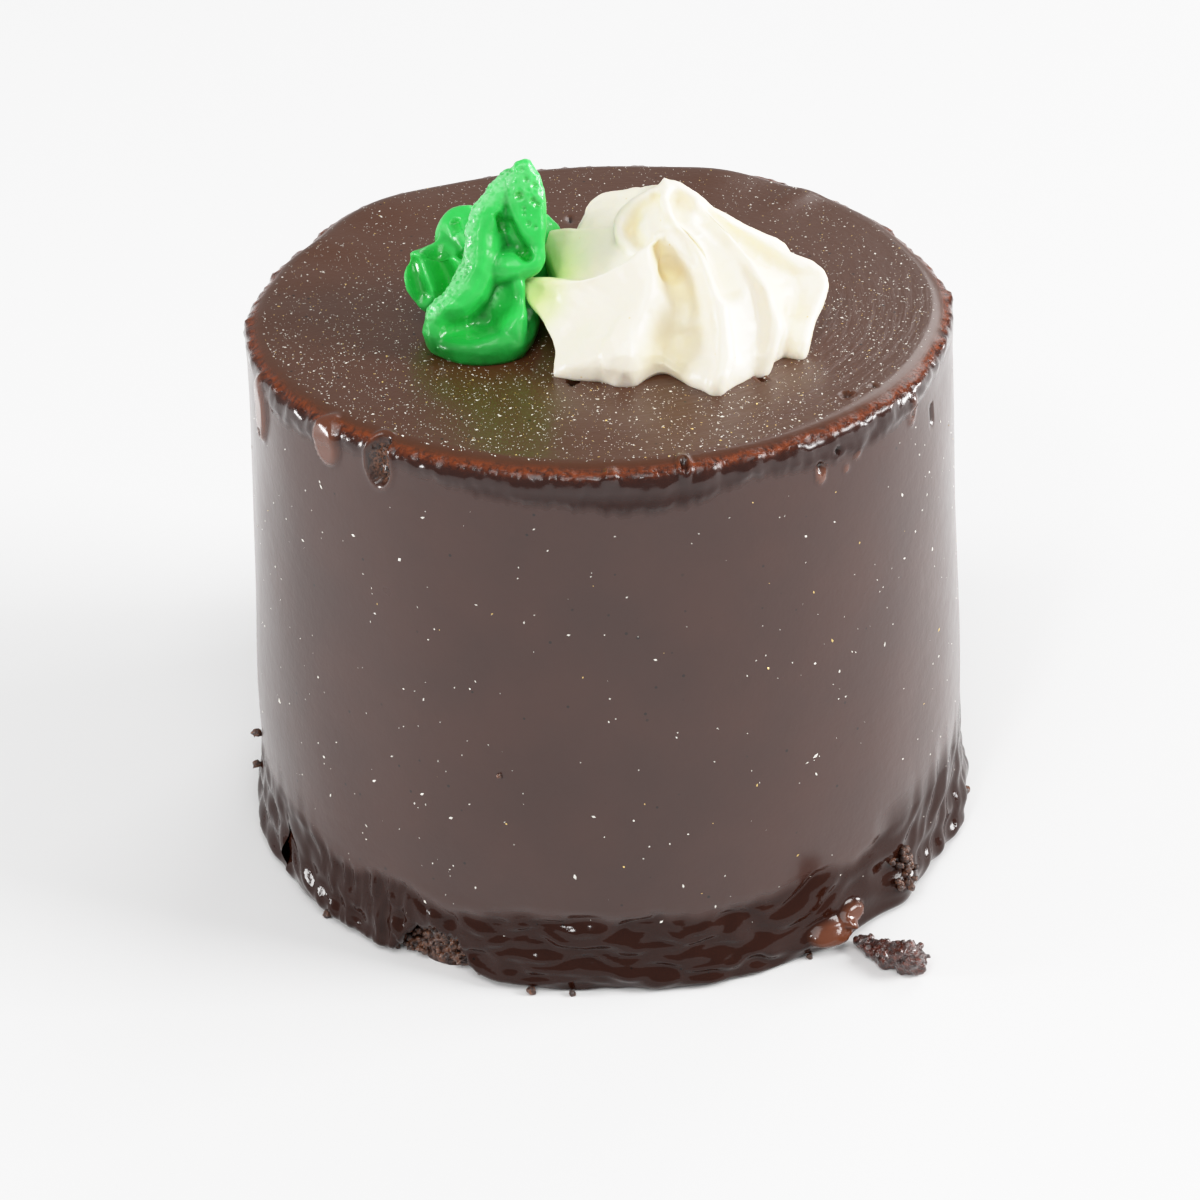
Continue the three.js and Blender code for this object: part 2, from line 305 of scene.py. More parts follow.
def fused(name: str, build: Moulding, voxel: float, passes: int) -> bpy.types.Object:
    """A new object whose overlapping solids are fused by a voxel remesh and smoothed.

    Args:
        name: the new object's name.
        build: fills a bmesh with the solids, in millimetres.
        voxel: size of the remesh's cells, in millimetres.
        passes: rounds of smoothing.

    Returns:
        The object, at the origin, in metres.
    """
    piece = solid_of(name, build)
    modify(piece, "REMESH", mode="VOXEL", voxel_size=voxel * MM, use_smooth_shade=True)
    modify(piece, "SMOOTH", factor=0.5, iterations=passes)
    return piece


def reshape(piece: bpy.types.Object, move: Callable[[int, Vector, Vector], Vector]) -> None:
    """Moves every point of a piece and shades it smooth.

    Args:
        piece: the object.
        move: gives a point's new place for its index, place and normal, in millimetres.
    """
    vertices = piece.data.vertices
    found = [(vertex.co / MM, vertex.normal.copy()) for vertex in vertices]
    flat: list[float] = []
    for i, (point, normal) in enumerate(found):
        flat.extend(move(i, point, normal) * MM)
    vertices.foreach_set("co", flat)
    piece.data.update()
    smooth(piece)


def hollows(piece: bpy.types.Object, passes: int) -> list[float]:
    """How deep each point lies below the surface's own smoothed shape.

    Args:
        piece: the object.
        passes: rounds of smoothing; more of them find broader hollows.

    Returns:
        One depth for each point, in millimetres; below 0 on a crest.
    """
    copy = linked(f"{piece.name}_smoothed", piece.data.copy())
    modify(copy, "SMOOTH", factor=0.5, iterations=passes)
    pairs = zip(piece.data.vertices, copy.data.vertices)
    depths = [(after.co - before.co).dot(before.normal) / MM for before, after in pairs]
    mesh = copy.data
    bpy.data.objects.remove(copy)
    bpy.data.meshes.remove(mesh)
    return depths


def finish_piece(
    piece: bpy.types.Object, material: bpy.types.Material, slot: str, *replaced: str
) -> bpy.types.Object:
    """Dresses a piece, lets it ride on the cake and hides the solid nodes that it stands for.

    Args:
        piece: the object.
        material: its finish.
        slot: not used.
        *replaced: the solid nodes that it stands for.

    Returns:
        The same object.
    """
    piece.data.materials.clear()
    piece.data.materials.append(material)
    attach(piece, BODY)
    if replaced:
        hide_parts(*replaced)
    return piece


# ---- Shader making -----------------------------------------------------------------------------------------


class Shade:
    """A shader socket on which arithmetic adds Math nodes."""

    def __init__(self, graph: "Graph", socket: bpy.types.NodeSocket) -> None:
        """Keeps the graph and the socket."""
        self.graph = graph
        self.socket = socket

    def _math(self, operation: str, first: object, second: object, clamped: bool = False) -> "Shade":
        """Adds one Math node."""
        return self.graph.node("Math", {"operation": operation, "use_clamp": clamped}, {0: first, 1: second})

    def __add__(self, other: object) -> "Shade":
        """self + other."""
        return self._math("ADD", self, other)

    __radd__ = __add__

    def __mul__(self, other: object) -> "Shade":
        """self * other."""
        return self._math("MULTIPLY", self, other)

    __rmul__ = __mul__

    def __sub__(self, other: object) -> "Shade":
        """self - other."""
        return self._math("SUBTRACT", self, other)

    def __rsub__(self, other: object) -> "Shade":
        """other - self."""
        return self._math("SUBTRACT", other, self)

    def __pow__(self, other: object) -> "Shade":
        """self raised to other."""
        return self._math("POWER", self, other)

    def clamp(self) -> "Shade":
        """The value held between 0 and 1."""
        return self._math("ADD", self, 0.0, clamped=True)

    def band(self, low: float, high: float) -> "Shade":
        """0 below low and 1 above high; the other way round where low is the larger."""
        return ((self - low) * (1 / (high - low))).clamp()


class Graph:
    """A material's node tree, with one way in for every node."""

    def __init__(self, name: str) -> None:
        """Makes a material with a Principled shader.

        Args:
            name: the material's name.
        """
        self.material = bpy.data.materials.new(name)
        self.material.use_nodes = True
        self.tree = self.material.node_tree
        self.shader = self.tree.nodes["Principled BSDF"]
        self.object = self.node("TexCoord", {}, {}, "Object")

    def node(self, kind: str, settings: dict[str, object], sockets: Sockets, output: str | int = 0) -> Shade:
        """Adds a node and returns one of its outputs.

        Args:
            kind: the node's type, without its ShaderNode prefix.
            settings: properties that are set first.
            sockets: values or links by input name or index.
            output: the output's name or index.

        Returns:
            The chosen output.
        """
        made = self.tree.nodes.new(f"ShaderNode{kind}")
        for key, value in settings.items():
            setattr(made, key, value)
        for key, value in sockets.items():
            self.feed(made.inputs[key], value)
        return Shade(self, made.outputs[output])

    def feed(self, socket: bpy.types.NodeSocket, value: object) -> None:
        """Sets a socket's value or links it.

        Args:
            socket: the input.
            value: a number, a vector, a colour of three numbers or a Shade.
        """
        if isinstance(value, Shade):
            self.tree.links.new(value.socket, socket)
        elif isinstance(value, tuple) and len(value) == 3 and len(socket.default_value) == 4:
            socket.default_value = (*value, 1.0)
        else:
            socket.default_value = value

    def set(self, **values: object) -> None:
        """Sets the Principled shader's sockets, with _ for a space in a name."""
        for key, value in values.items():
            self.feed(self.shader.inputs[key.replace("_", " ")], value)

    def kept(self, *names: str) -> list[Shade]:
        """Values that the mesh keeps at its points."""
        return [self.node("Attribute", {"attribute_name": name}, {}, "Fac") for name in names]

    def axis(self, index: int) -> Shade:
        """Object coordinate along X, Y or Z, in metres."""
        return self.node("SeparateXYZ", {}, {0: self.object}, index)

    def noise(self, size: float, detail: float = 2.0, lift: float = 0.5, at: Shade | None = None) -> Shade:
        """Noise from 0 to 1 with features of a size in millimetres."""
        sockets = {"Vector": at or self.object, "Scale": 1 / (size * MM), "Detail": detail, "Roughness": lift}
        return self.node("TexNoise", {}, sockets)

    def cells(self, size: float) -> Shade:
        """Distance to the nearest of scattered points that lie about a size in millimetres apart."""
        return self.node("TexVoronoi", {}, {"Vector": self.object, "Scale": 1 / (size * MM)}, "Distance")

    def mix(self, low: object, high: object, factor: object) -> Shade:
        """Colour between low and high."""
        return self.node("Mix", {"data_type": "RGBA"}, {0: factor, 6: low, 7: high}, 2)

    def bump(self, height: Shade, depth: float, under: Shade | None = None) -> Shade:
        """A bumped normal.

        Args:
            height: 0 to 1.
            depth: what a height of 1 stands for, in millimetres.
            under: a normal that is already bumped.

        Returns:
            The new normal.
        """
        sockets: Sockets = {"Height": height, "Distance": depth * MM, "Strength": 1.0}
        if under:
            sockets["Normal"] = under
        return self.node("Bump", {}, sockets)


# ---- Finishes ----------------------------------------------------------------------------------------------


@dataclass(frozen=True)
class IcingFinish:
    """Set chocolate icing: a soft gloss on the side and top, wet-looking at the rim and the foot.

    Below the colours stand the roughness of satin and of wet icing, the weight of the clear coat, the
    heights between which the top (dusted, and painted lighter as if more brightly lit) and the shinier
    shoulder of the bead begin, and the depths of the relief.
    """

    dark: Colour = (0.036, 0.0122, 0.008)
    worn: Colour = (0.043, 0.0146, 0.0094)
    # The top's colour: dust on the icing, and painted light, since it is lighter than the side to stand in
    # for the brighter light that falls on the top.
    dust_and_top_light: Colour = (0.066, 0.0215, 0.0085)
    edge: Colour = (0.19, 0.036, 0.007)
    bead: Colour = (0.02, 0.0042, 0.002)
    # The foot is painted darker than the side: a painted dark reflection in its wet glaze.
    foot: Colour = (0.019, 0.005, 0.0026)
    blister: Colour = (0.105, 0.031, 0.014)
    # Near-black painted shade for holes and pinholes.
    pit: Colour = (0.008, 0.003, 0.002)
    grit: Colour = (0.26, 0.1, 0.05)
    satin: float = 0.3
    wet: float = 0.09
    coat: float = 0.62
    top_from: tuple[float, float] = (56.3, 56.8)
    shoulder_from: tuple[float, float] = (53.6, 54.8)
    peel_depth: float = 0.045
    streak_depth: float = 0.08
    rim_depth: float = 0.2
    crumb_depth: float = 0.3

    def material(self) -> bpy.types.Material:
        """Builds the material.

        Returns:
            The material.
        """
        g = Graph("chocolate_icing")
        rim, bead, foot, top = g.kept("rim", "bead", "foot", "top")
        blister, pit, crumb = g.kept("blister", "pit", "crumb")
        level = g.axis(2) * (1 / MM)
        upper, shoulder = level.band(*self.top_from), level.band(*self.shoulder_from)
        broken = g.noise(0.5, 3, 0.6).band(0.34, 0.64)
        # Pinholes: near-black dots of painted shade, with no hole cut for them.
        pin = g.cells(2.1).band(0.085, 0.06) * g.noise(3.2, 1).band(0.46, 0.52)
        grit = g.noise(0.42, 4, 0.7)
        colour = g.mix(self.dark, self.worn, g.noise(9, 3).band(0.35, 0.65))
        # Laid over the random tone: the top (dust and painted light), the bead, the foot (painted dark
        # reflection), the rim line, blisters, holes and pinholes (painted shade), and crumb in a hole with
        # painted shade between its grains.
        for over, share in (
            (self.dust_and_top_light, upper),
            (self.bead, bead),
            (self.foot, foot),
            (self.edge, (rim * broken).clamp()),
            (self.blister, blister),
            (self.pit, (pit + pin).clamp()),
            (g.mix(self.pit, self.grit, grit.band(0.4, 0.65)), crumb),
        ):
            colour = g.mix(colour, over, share)
        wet = (bead + foot + rim * 0.4 + blister * 0.7).clamp()
        rough = (self.satin + (g.noise(2.5, 3) - 0.5) * 0.1) * (1 - wet) + wet * self.wet
        streaks = g.node("VectorMath", {"operation": "MULTIPLY"}, {0: self._round(g), 1: (0.16, 1.4, 1.0)})
        chips = (rim * 0.8 + bead * 0.15).clamp()
        normal = g.bump(g.noise(1.5, 2) * 0.7 + g.noise(0.42, 2) * 0.3, self.peel_depth)
        normal = g.bump(g.noise(1.0, 3, at=streaks) * top, self.streak_depth, normal)
        normal = g.bump(g.noise(0.5, 3, 0.6) * chips, self.rim_depth, normal)
        normal = g.bump(grit * crumb, self.crumb_depth, normal)
        dull = upper * 0.3 + foot * 0.6 + bead * (0.6 - shoulder * 0.48) + rim * 0.3
        coat = (self.coat - dull + blister * 0.3).clamp()
        g.set(Base_Color=colour, Roughness=rough, IOR=1.3, Normal=normal)
        g.set(Coat_Weight=coat, Coat_Roughness=0.2, Coat_IOR=1.5)
        return g.material

    @staticmethod
    def _round(g: Graph) -> Shade:
        """Coordinates that follow the circles of the top.

        Args:
            g: the graph that they are added to.

        Returns:
            A vector: metres round a middling circle, then metres out.
        """
        x, y = g.axis(0), g.axis(1)
        angle = g.node("Math", {"operation": "ARCTAN2"}, {0: y, 1: x})
        return g.node("CombineXYZ", {}, {0: angle * 0.03, 1: (x * x + y * y) ** 0.5})


@dataclass(frozen=True)
class CrumbFinish:
    """Dark open sponge, dry or with icing on it."""

    name: str
    dark: Colour = (0.02, 0.0055, 0.0032)
    light: Colour = (0.16, 0.058, 0.028)
    roughness: float = 0.6
    gloss: float = 0.0
    relief: float = 0.2

    def material(self) -> bpy.types.Material:
        """Builds the material.

        Returns:
            The material.
        """
        g = Graph(self.name)
        mottle = g.noise(0.55, 4, 0.65)
        g.set(Base_Color=g.mix(self.dark, self.light, mottle.band(0.42, 0.72)))
        g.set(Roughness=self.roughness - mottle.band(0.45, 0.6) * 0.3, IOR=1.5)
        g.set(Normal=g.bump(g.noise(0.3, 4, 0.7), self.relief), Coat_Weight=self.gloss, Coat_Roughness=0.1)
        return g.material


@dataclass(frozen=True)
class WhiteCreamFinish:
    """Whipped white cream, with painted yellow shade in its grooves, and green stain and painted bounce light
    near the green.
    """

    cream: Colour = (0.87, 0.8, 0.66)
    # Painted shade: the grooves and creases are painted yellower, as the light that reaches them is dimmer
    # and yellower.
    groove: Colour = (0.9, 0.74, 0.34)
    # Near the green cream: partly its stain, partly painted green light thrown back from it.
    tint: Colour = (0.6, 0.8, 0.2)
    fleck: Colour = (0.75, 0.5, 0.12)
    roughness: float = 0.42
    relief: float = 0.03
    glow_depth: float = 1.2

    def material(self) -> bpy.types.Material:
        """Builds the material.

        Returns:
            The material.
        """
        g = Graph("white_cream")
        deep, near_green = g.kept("groove", "near_green")
        patchy = g.noise(3.2, 2).band(0.3, 0.7)
        # Painted yellow shade in the grooves, made patchy.
        colour = g.mix(self.cream, self.groove, (deep * (0.6 + patchy * 0.4)).clamp())
        # The green's stain and painted green bounce light.
        colour = g.mix(colour, self.tint, near_green)
        specks = g.cells(1.5).band(0.09, 0.05) * g.noise(2.0, 1).band(0.55, 0.6)
        colour = g.mix(colour, self.fleck, specks * 0.6)
        rough = self.roughness + (g.noise(2.0, 2) - 0.5) * 0.15
        g.set(Base_Color=colour, Roughness=rough, IOR=1.42, Normal=g.bump(g.noise(0.5, 3), self.relief))
        g.set(Subsurface_Weight=0.25, Subsurface_Radius=(1.0, 0.75, 0.4))
        g.set(Subsurface_Scale=self.glow_depth * MM, Coat_Weight=0.15, Coat_Roughness=0.2)
        return g.material


@dataclass(frozen=True)
class GreenCreamFinish:
    """Coloured cream with a wet gloss, frothy along its torn crest."""

    green: Colour = (0.03, 0.58, 0.085)
    deep: Colour = (0.001, 0.13, 0.01)
    froth: Colour = (0.24, 0.76, 0.3)
    # Painted shade: the dark, saturated green of the dents' hollows, which are also made glossier.
    wet: Colour = (0.001, 0.36, 0.01)
    roughness: float = 0.34
    relief: float = 0.03
    bubble_depth: float = 0.2
    glow_depth: float = 0.8

    def material(self) -> bpy.types.Material:
        """Builds the material.

        Returns:
            The material.
        """
        g = Graph("green_cream")
        froth, dent, shade = g.kept("froth", "dent", "shade")
        colour = g.mix(self.green, self.deep, (g.noise(4, 2).band(0.45, 0.8) * 0.25 + shade * 0.95).clamp())
        bubbles = g.cells(0.55)
        colour = g.mix(colour, self.froth, (froth * (0.12 + bubbles.band(0.24, 0.48) * 0.6)).clamp())
        specks = g.cells(1.1).band(0.1, 0.05) * g.noise(2.4, 1).band(0.5, 0.56)
        colour = g.mix(colour, self.froth, specks)
        # Painted shade in the dents: the bubbles, the pocket and the valleys.
        colour = g.mix(colour, self.wet, dent * 0.85)
        normal = g.bump(g.noise(0.5, 2), self.relief)
        normal = g.bump(bubbles * froth, self.bubble_depth, normal)
        rough = self.roughness - dent * 0.22 - froth * 0.1
        g.set(Base_Color=colour, Roughness=rough, IOR=1.38, Normal=normal)
        g.set(Subsurface_Weight=0.12, Subsurface_Radius=(0.2, 1.0, 0.3))
        coat = (0.16 + froth * 0.4 + dent * 0.7).clamp()
        g.set(Subsurface_Scale=self.glow_depth * MM, Coat_Weight=coat, Coat_Roughness=0.08)
        return g.material


@dataclass(frozen=True)
class DustFinish:
    """Shimmer dust: pale flakes with a glint."""

    name: str
    colour: Colour
    metal: float
    shaded: float = 0.7

    def material(self) -> bpy.types.Material:
        """Builds the material.

        Returns:
            The material.
        """
        g = Graph(self.name)
        darker = tuple(self.shaded * c for c in self.colour)
        g.set(Base_Color=g.mix(self.colour, darker, g.noise(0.8, 1).band(0.35, 0.65)))
        g.set(Roughness=0.32, Metallic=self.metal)
        return g.material


# ---- The cake ----------------------------------------------------------------------------------------------


@dataclass(frozen=True)
class Swell:
    """A place where the icing is thicker: its angle, half width in degrees, reach and height."""

    angle: float
    half: float
    out: float
    up: float

    def at(self, angle: float) -> float:
        """Share of the swell at an angle."""
        return bump(turn_between(angle, self.angle), self.half)


@dataclass(frozen=True)
class Mark:
    """A blister, hole or drip in the icing.

    angle and along place it: along is its height on the side, or its radius on the top. half_round and
    half_along are its half sizes, and lift is how far it stands out, or sinks where it is below 0.
    """

    angle: float
    along: float
    half_round: float
    half_along: float
    lift: float
    blister: float = 0.0
    # Share of the near-black painted shade of a hole.
    pit: float = 0.0
    crumb: float = 0.0

    def distance(self, angle: float, along: float, radius: float) -> float:
        """Distance from the mark's middle, with 1 at its outline."""
        across = math.radians(turn_between(angle, self.angle)) * radius
        return math.hypot(across / self.half_round, (along - self.along) / self.half_along)


class Zone(Enum):
    """Stretches of the icing's skin, from the inside round the hem to the middle of the top."""

    INSIDE = "inside"
    HEM = "hem"
    SIDE = "side"
    RIM = "rim"
    TOP = "top"


@dataclass
class Cake:
    """The cake's outline, in which the sponge, the icing and what lies on them agree.

    bare_angle, bare_half and bare_height give the place at the foot that no icing reached.
    """

    height: float = 57.0
    shoulder: float = 35.0
    rim_bend: float = 2.2
    foot_radius: float = 37.9
    core_foot: float = 35.3
    core_top: float = 32.6
    wall: float = 2.0
    gap: float = 0.3
    bare_angle: float = -119.0
    bare_half: float = 6.0
    bare_height: float = 4.2
    rim_lumps: tuple[Swell, ...] = (
        Swell(182, 5, 0.1, 0.1),
        Swell(167, 6, -0.6, 0.1),
        Swell(152, 7, -1.1, 0.3),
        Swell(133, 12, 0.5, 0.6),
        Swell(66, 9, 0.1, 0.5),
        Swell(48, 4, 0.1, 0.3),
        Swell(19, 12, -0.8, 0.0),
        Swell(-20, 9, -0.3, 0.0),
        Swell(-62, 16, -0.2, -0.2),
        Swell(-92, 12, 0.2, -0.1),
        Swell(225, 14, -0.2, 0.1),
    )
    foot_drips: tuple[Swell, ...] = (
        Swell(196, 7, 0.6, 5),
        Swell(214, 6, 0.3, 7),
        Swell(258, 7, 0.5, 4),
        Swell(284, 8, 0.4, 5),
        Swell(304, 4, 1.0, 3),
        Swell(320, 4, 1.1, 5),
        Swell(345, 8, 0.5, 8),
        Swell(30, 9, 0.6, 6),
        Swell(72, 8, 0.5, 5),
        Swell(118, 9, 0.6, 6),
        Swell(158, 7, 0.4, 5),
    )

    @property
    def bend_start(self) -> float:
        """Height at which the rim's bend begins."""
        return self.height - self.rim_bend

    @property
    def half_bend(self) -> float:
        """Half of the rim's bend, along the skin."""
        return self.rim_bend * math.pi / 4

    def core_radius(self, z: float) -> float:
        """Radius of the sponge at a height."""
        return lerp(self.core_foot, self.core_top, z / self.height)

    def plain_side(self, z: float) -> float:
        """Radius of the even side at a height.

        Args:
            z: the height.

        Returns:
            The radius.
        """
        foot = ((0.0, self.foot_radius - 0.4), (1.5, self.foot_radius), (5.0, 37.4), (9.0, 37.1))
        wall = ((16.0, 37.0), (28.0, 36.3), (40.0, 35.6), (self.height - 4, self.shoulder))
        return through((*foot, *wall), z)

    def foot_swell(self, angle: float, z: float) -> float:
        """How far the icing that ran down stands out at the foot.

        Args:
            angle: round the cake.
            z: the height.

        Returns:
            The reach beyond the even side.
        """
        drips = sum(d.out * d.at(angle) * bump(z - 1, d.up) for d in self.foot_drips)
        a = math.radians(angle)
        folds = 0.35 * math.sin(9 * a + 0.8 * z) * math.sin(1.1 * z + 4 * a) * bump(z - 2, 5)
        return drips + folds

    def lump_out(self, angle: float) -> float:
        """How far the rim's lumps stand out."""
        return sum(m.out * m.at(angle) for m in self.rim_lumps)

    def lump_up(self, angle: float) -> float:
        """How far the rim's lumps stand up."""
        return sum(m.up * m.at(angle) for m in self.rim_lumps)

    def side(self, angle: float, z: float) -> float:
        """Radius of the icing's side."""
        lumps = self.lump_out(angle) * bump(self.height - 3 - z, 5)
        return self.plain_side(z) + self.foot_swell(angle, z) + lumps

    def bare(self, angle: float, share: float = 1.0) -> float:
        """1 in the place at the foot that no icing reached, and 0 away from it."""
        return math.exp(-((turn_between(angle, self.bare_angle) / (share * self.bare_half)) ** 4))

    def hem(self, angle: float) -> float:
        """Height of the icing's lower edge.

        Args:
            angle: round the cake.

        Returns:
            The height, higher over the bare place.
        """
        ragged = 0.25 * grain(angle * 0.9, 3.0, 0.0) + 0.12 * grain(angle * 3.1, 9.0, 0.0)
        lift = self.bare_height * self.bare(angle) * (1 + 0.35 * grain(angle * 1.1, 0.0, 5.0))
        return max(0.06 + 0.15 * (1 + ragged) + lift, 0.05)

    def sway(self, angle: float, z: float) -> float:
        """How far the side stands out or in because the icing is slightly uneven."""
        a = math.radians(angle)
        return 0.12 * grain(4 * math.cos(a), 4 * math.sin(a), z / 14)

    def seat(self, point: Vector, middle: tuple[float, float]) -> Vector:
        """Place on the top for a point of a swirl, whose foot lies on the icing.

        Args:
            point: the point in the swirl's own frame.
            middle: where the swirl stands.

        Returns:
            The point in the cake's frame.
        """
        z = point.z + self.height + self.gap - 0.4 * ease(1.4, 0.2, point.z)
        return Vector((point.x + middle[0], point.y + middle[1], max(z, self.height - 0.1)))


@dataclass
class Icing:
    """The poured chocolate icing over the side and top.

    foot_edge gives the height at which the satin side ends, and bead_depth how far the glossy bead hangs
    below the rim, both by angle. The steps are the spacing of the skin's rings, crowding draws its columns
    to the front, and mark_reach is how many degrees from a mark it can still be felt.
    """

    cake: Cake
    around: int = 600
    crowding: float = 26.0
    inside_rings: tuple[float, ...] = (0.0, 1.0, 0.97, 0.5, 0.12)
    inside_foot: float = 9.0
    hem_rings: tuple[float, ...] = (0.0, 0.5, 0.8)
    side_steps: Stations = ((10.0, 0.28), (46.0, 3.0))
    bead_step: float = 0.32
    bend_step: float = 0.1
    top_steps: Stations = ((26.0, 0.38), (15.0, 0.6), (0.0, 2.0))
    mark_reach: float = 9.0
    foot_edge: Stations = (
        (-180, 9.5), (-150, 9.5), (-130, 8.6), (-112, 8.2), (-100, 8.8), (-89, 8.8), (-75, 8.4), (-61, 9.0),
        (-45, 10.0), (-30, 11.8), (-15, 12.4), (0, 11.8), (30, 10.4), (90, 9.0), (180, 9.5),
    )
    bead_depth: Stations = (
        (-180, 0.8), (-168, 1.3), (-157, 2.0), (-150, 2.3), (-142, 2.0), (-134, 1.4), (-124, 1.0),
        (-116, 1.5), (-110, 2.2), (-103, 2.6), (-97, 2.7), (-90, 3.3), (-82, 3.6), (-76, 3.2), (-68, 2.0),
        (-60, 2.4), (-52, 2.8), (-45, 2.8), (-38, 2.4), (-32, 1.8), (-25, 1.2), (-10, 0.7), (40, 1.3),
        (90, 0.8), (135, 1.5), (180, 0.8),
    )
    marks_on_side: tuple[Mark, ...] = (
        Mark(-159.0, 52.5, 1.5, 3.4, 0.45, blister=1.0),
        Mark(-159.0, 50.2, 0.34, 0.34, -0.4, pit=0.9),
        Mark(-137.2, 54.4, 1.7, 2.1, 0.6, blister=1.0),
        Mark(-126.3, 54.5, 1.8, 2.5, 0.36, blister=0.35),
        Mark(-126.3, 54.4, 1.6, 2.25, -0.2, pit=0.95),
        Mark(-126.3, 54.4, 1.3, 1.95, -1.15, crumb=1.0),
        Mark(-125.4, 55.9, 0.55, 0.6, -0.5, pit=1.0),
        Mark(-78.0, 56.0, 0.75, 0.85, 0.3),
        Mark(-77.9, 56.1, 0.38, 0.45, -0.6, pit=0.7),
        Mark(-89.2, 55.8, 0.7, 0.5, 0.3),
        Mark(-55.4, 52.6, 0.62, 1.1, 0.2, blister=1.0),
        Mark(-55.4, 53.2, 0.42, 0.42, -0.6, pit=1.0),
        Mark(-48.1, 52.9, 0.4, 0.4, 0.16, blister=0.7),
        Mark(-50.4, 52.1, 0.36, 0.4, 0.14, blister=0.8),
        Mark(-34.1, 53.9, 0.75, 1.5, 0.22, blister=0.5),
        Mark(-34.1, 54.0, 0.3, 0.7, -0.3, crumb=1.0),
        Mark(-26.3, 51.3, 0.5, 1.1, -0.5, pit=0.8),
        Mark(-52.2, 54.3, 0.4, 0.45, -0.5, pit=0.9),
        Mark(-56.5, 2.6, 2.5, 1.25, 0.75, blister=0.95),
        Mark(-52.4, 3.5, 1.5, 1.0, 0.8, blister=0.95),
    )
    holes_on_top: tuple[Mark, ...] = (
        Mark(-50.3, 23.3, 0.8, 0.62, 0.12, blister=0.8),
        Mark(-50.3, 23.3, 0.5, 0.36, -0.7, pit=1.0),
        Mark(-43.8, 31.6, 0.95, 0.7, 0.1, blister=0.4),
        Mark(-43.8, 31.6, 0.62, 0.42, -0.7, pit=1.0),
        Mark(-38.5, 32.4, 0.28, 0.25, -0.4, pit=1.0),
        Mark(-98.8, 17.6, 0.7, 0.5, -0.6, pit=1.0),
        Mark(98.0, 19.6, 0.4, 0.4, -0.4, pit=1.0),
        Mark(80.0, 24.0, 0.3, 0.3, -0.4, pit=1.0),
    )

    @staticmethod
    def stepped(start: float, stretches: Stations) -> list[float]:
        """Values that run on through stretches of even steps.

        Args:
            start: the first value.
            stretches: the end and the step of each stretch.

        Returns:
            The values, without the last end.
        """
        values: list[float] = []
        for stop, step in stretches:
            values += spread(start, stop, step)
            start = stop
        return values

    def rings(self) -> list[tuple[Zone, float]]:
        """Every ring of the skin, with its place in its zone.

        Returns:
            The rings in order.
        """
        values = {
            Zone.INSIDE: self.inside_rings,
            Zone.HEM: self.hem_rings,
            Zone.SIDE: self.stepped(0.0, (*self.side_steps, (self.cake.bend_start, self.bead_step))),
            Zone.RIM: spread(0.0, 1.0, self.bend_step),
            Zone.TOP: [*self.stepped(self.cake.shoulder - self.cake.rim_bend, self.top_steps), 0.0],
        }
        return [(zone, value) for zone in Zone for value in values[zone]]

    def build(self) -> list[bpy.types.Object]:
        """Makes the icing's skin.

        Returns:
            The one piece.
        """
        rings = self.rings()

        def place(turn: float, index: int) -> Placed:
            """Point and kept values at a share of a turn on a ring."""
            even = turn * 360 - 180
            return self.point(even - self.crowding * math.cos(math.radians(even)), *rings[index])

        piece = wrapped("icing_skin", self.around, len(rings) - 1, place)
        return [finish_piece(piece, IcingFinish().material(), "icing", "icing")]

    def point(self, angle: float, zone: Zone, value: float) -> Placed:
        """Point of the skin and the values that its finish reads.

        Args:
            angle: round the cake.
            zone: the stretch of the skin.
            value: the ring's place in its zone.

        Returns:
            The point and its kept values.
        """
        cake = self.cake
        plain = dict.fromkeys(("rim", "bead", "foot", "blister", "pit", "crumb", "top"), 0.0)
        hem = cake.hem(angle)
        match zone:
            case Zone.INSIDE:
                z = lerp(self.inside_foot, cake.height - cake.wall, value or 1.0)
                return polar(angle, cake.core_radius(z) + cake.gap if value else 0.0, z), plain
            case Zone.HEM:
                inner, outer = cake.core_radius(hem) + cake.gap, cake.side(angle, hem) - 0.45
                return polar(angle, lerp(inner, outer, value), hem + 0.12 * value), plain | {"foot": 1.0}
            case Zone.SIDE:
                return self.side_point(angle, value, hem)
            case Zone.RIM:
                return self.rim_point(angle, value)
        return self.top_point(angle, value)

    def lip(self, angle: float, arc: float) -> Marked:
        """The orange-brown line along the rim and the glossy bead below it.

        Args:
            angle: round the cake.
            arc: distance along the skin from the middle of the rim's bend, upwards.

        Returns:
            How far it stands out, and the values that its finish reads.
        """
        a = math.radians(angle) * self.cake.shoulder
        ragged = 0.5 * grain(a / 1.5, 5.0, 0.0) + 0.3 * grain(a / 0.6, 8.0, 0.0)
        low = through(self.bead_depth, angle) + ragged
        upper = ease(0.25, -0.3, arc)
        lumps = grain(a / 2.1, 1.5, arc * 0.3) + 0.7 * grain(a / 0.8, 7.5, arc * 0.8)
        stand = ease(-low - 0.6, -low + 0.35, arc) * upper * (0.2 + 0.24 * lumps)
        waver = 0.2 * grain(a / 3.1, 11.0, 0.0)
        broken = ease(-0.62, -0.3, grain(a / 2.6, 21.0, 0.0) + 0.3 * grain(a / 0.9, 2.0, 0.0))
        line = bump(arc - 0.1 - waver, 0.46) * broken
        gloss = ease(-low - 1.1, -low + 0.3, arc) * upper
        return stand + 0.14 * bump(arc + 0.2, 0.5) * lumps, {"rim": max(line, 0.0), "bead": gloss}

    def wet_edge(self, angle: float) -> float:
        """Height at which the satin side ends and the wet, wrinkled foot begins."""
        ragged = 1.5 * grain(angle / 11.0, 0.0, 8.0) + 0.5 * grain(angle / 3.3, 4.0, 8.0)
        return through(self.foot_edge, angle) + ragged

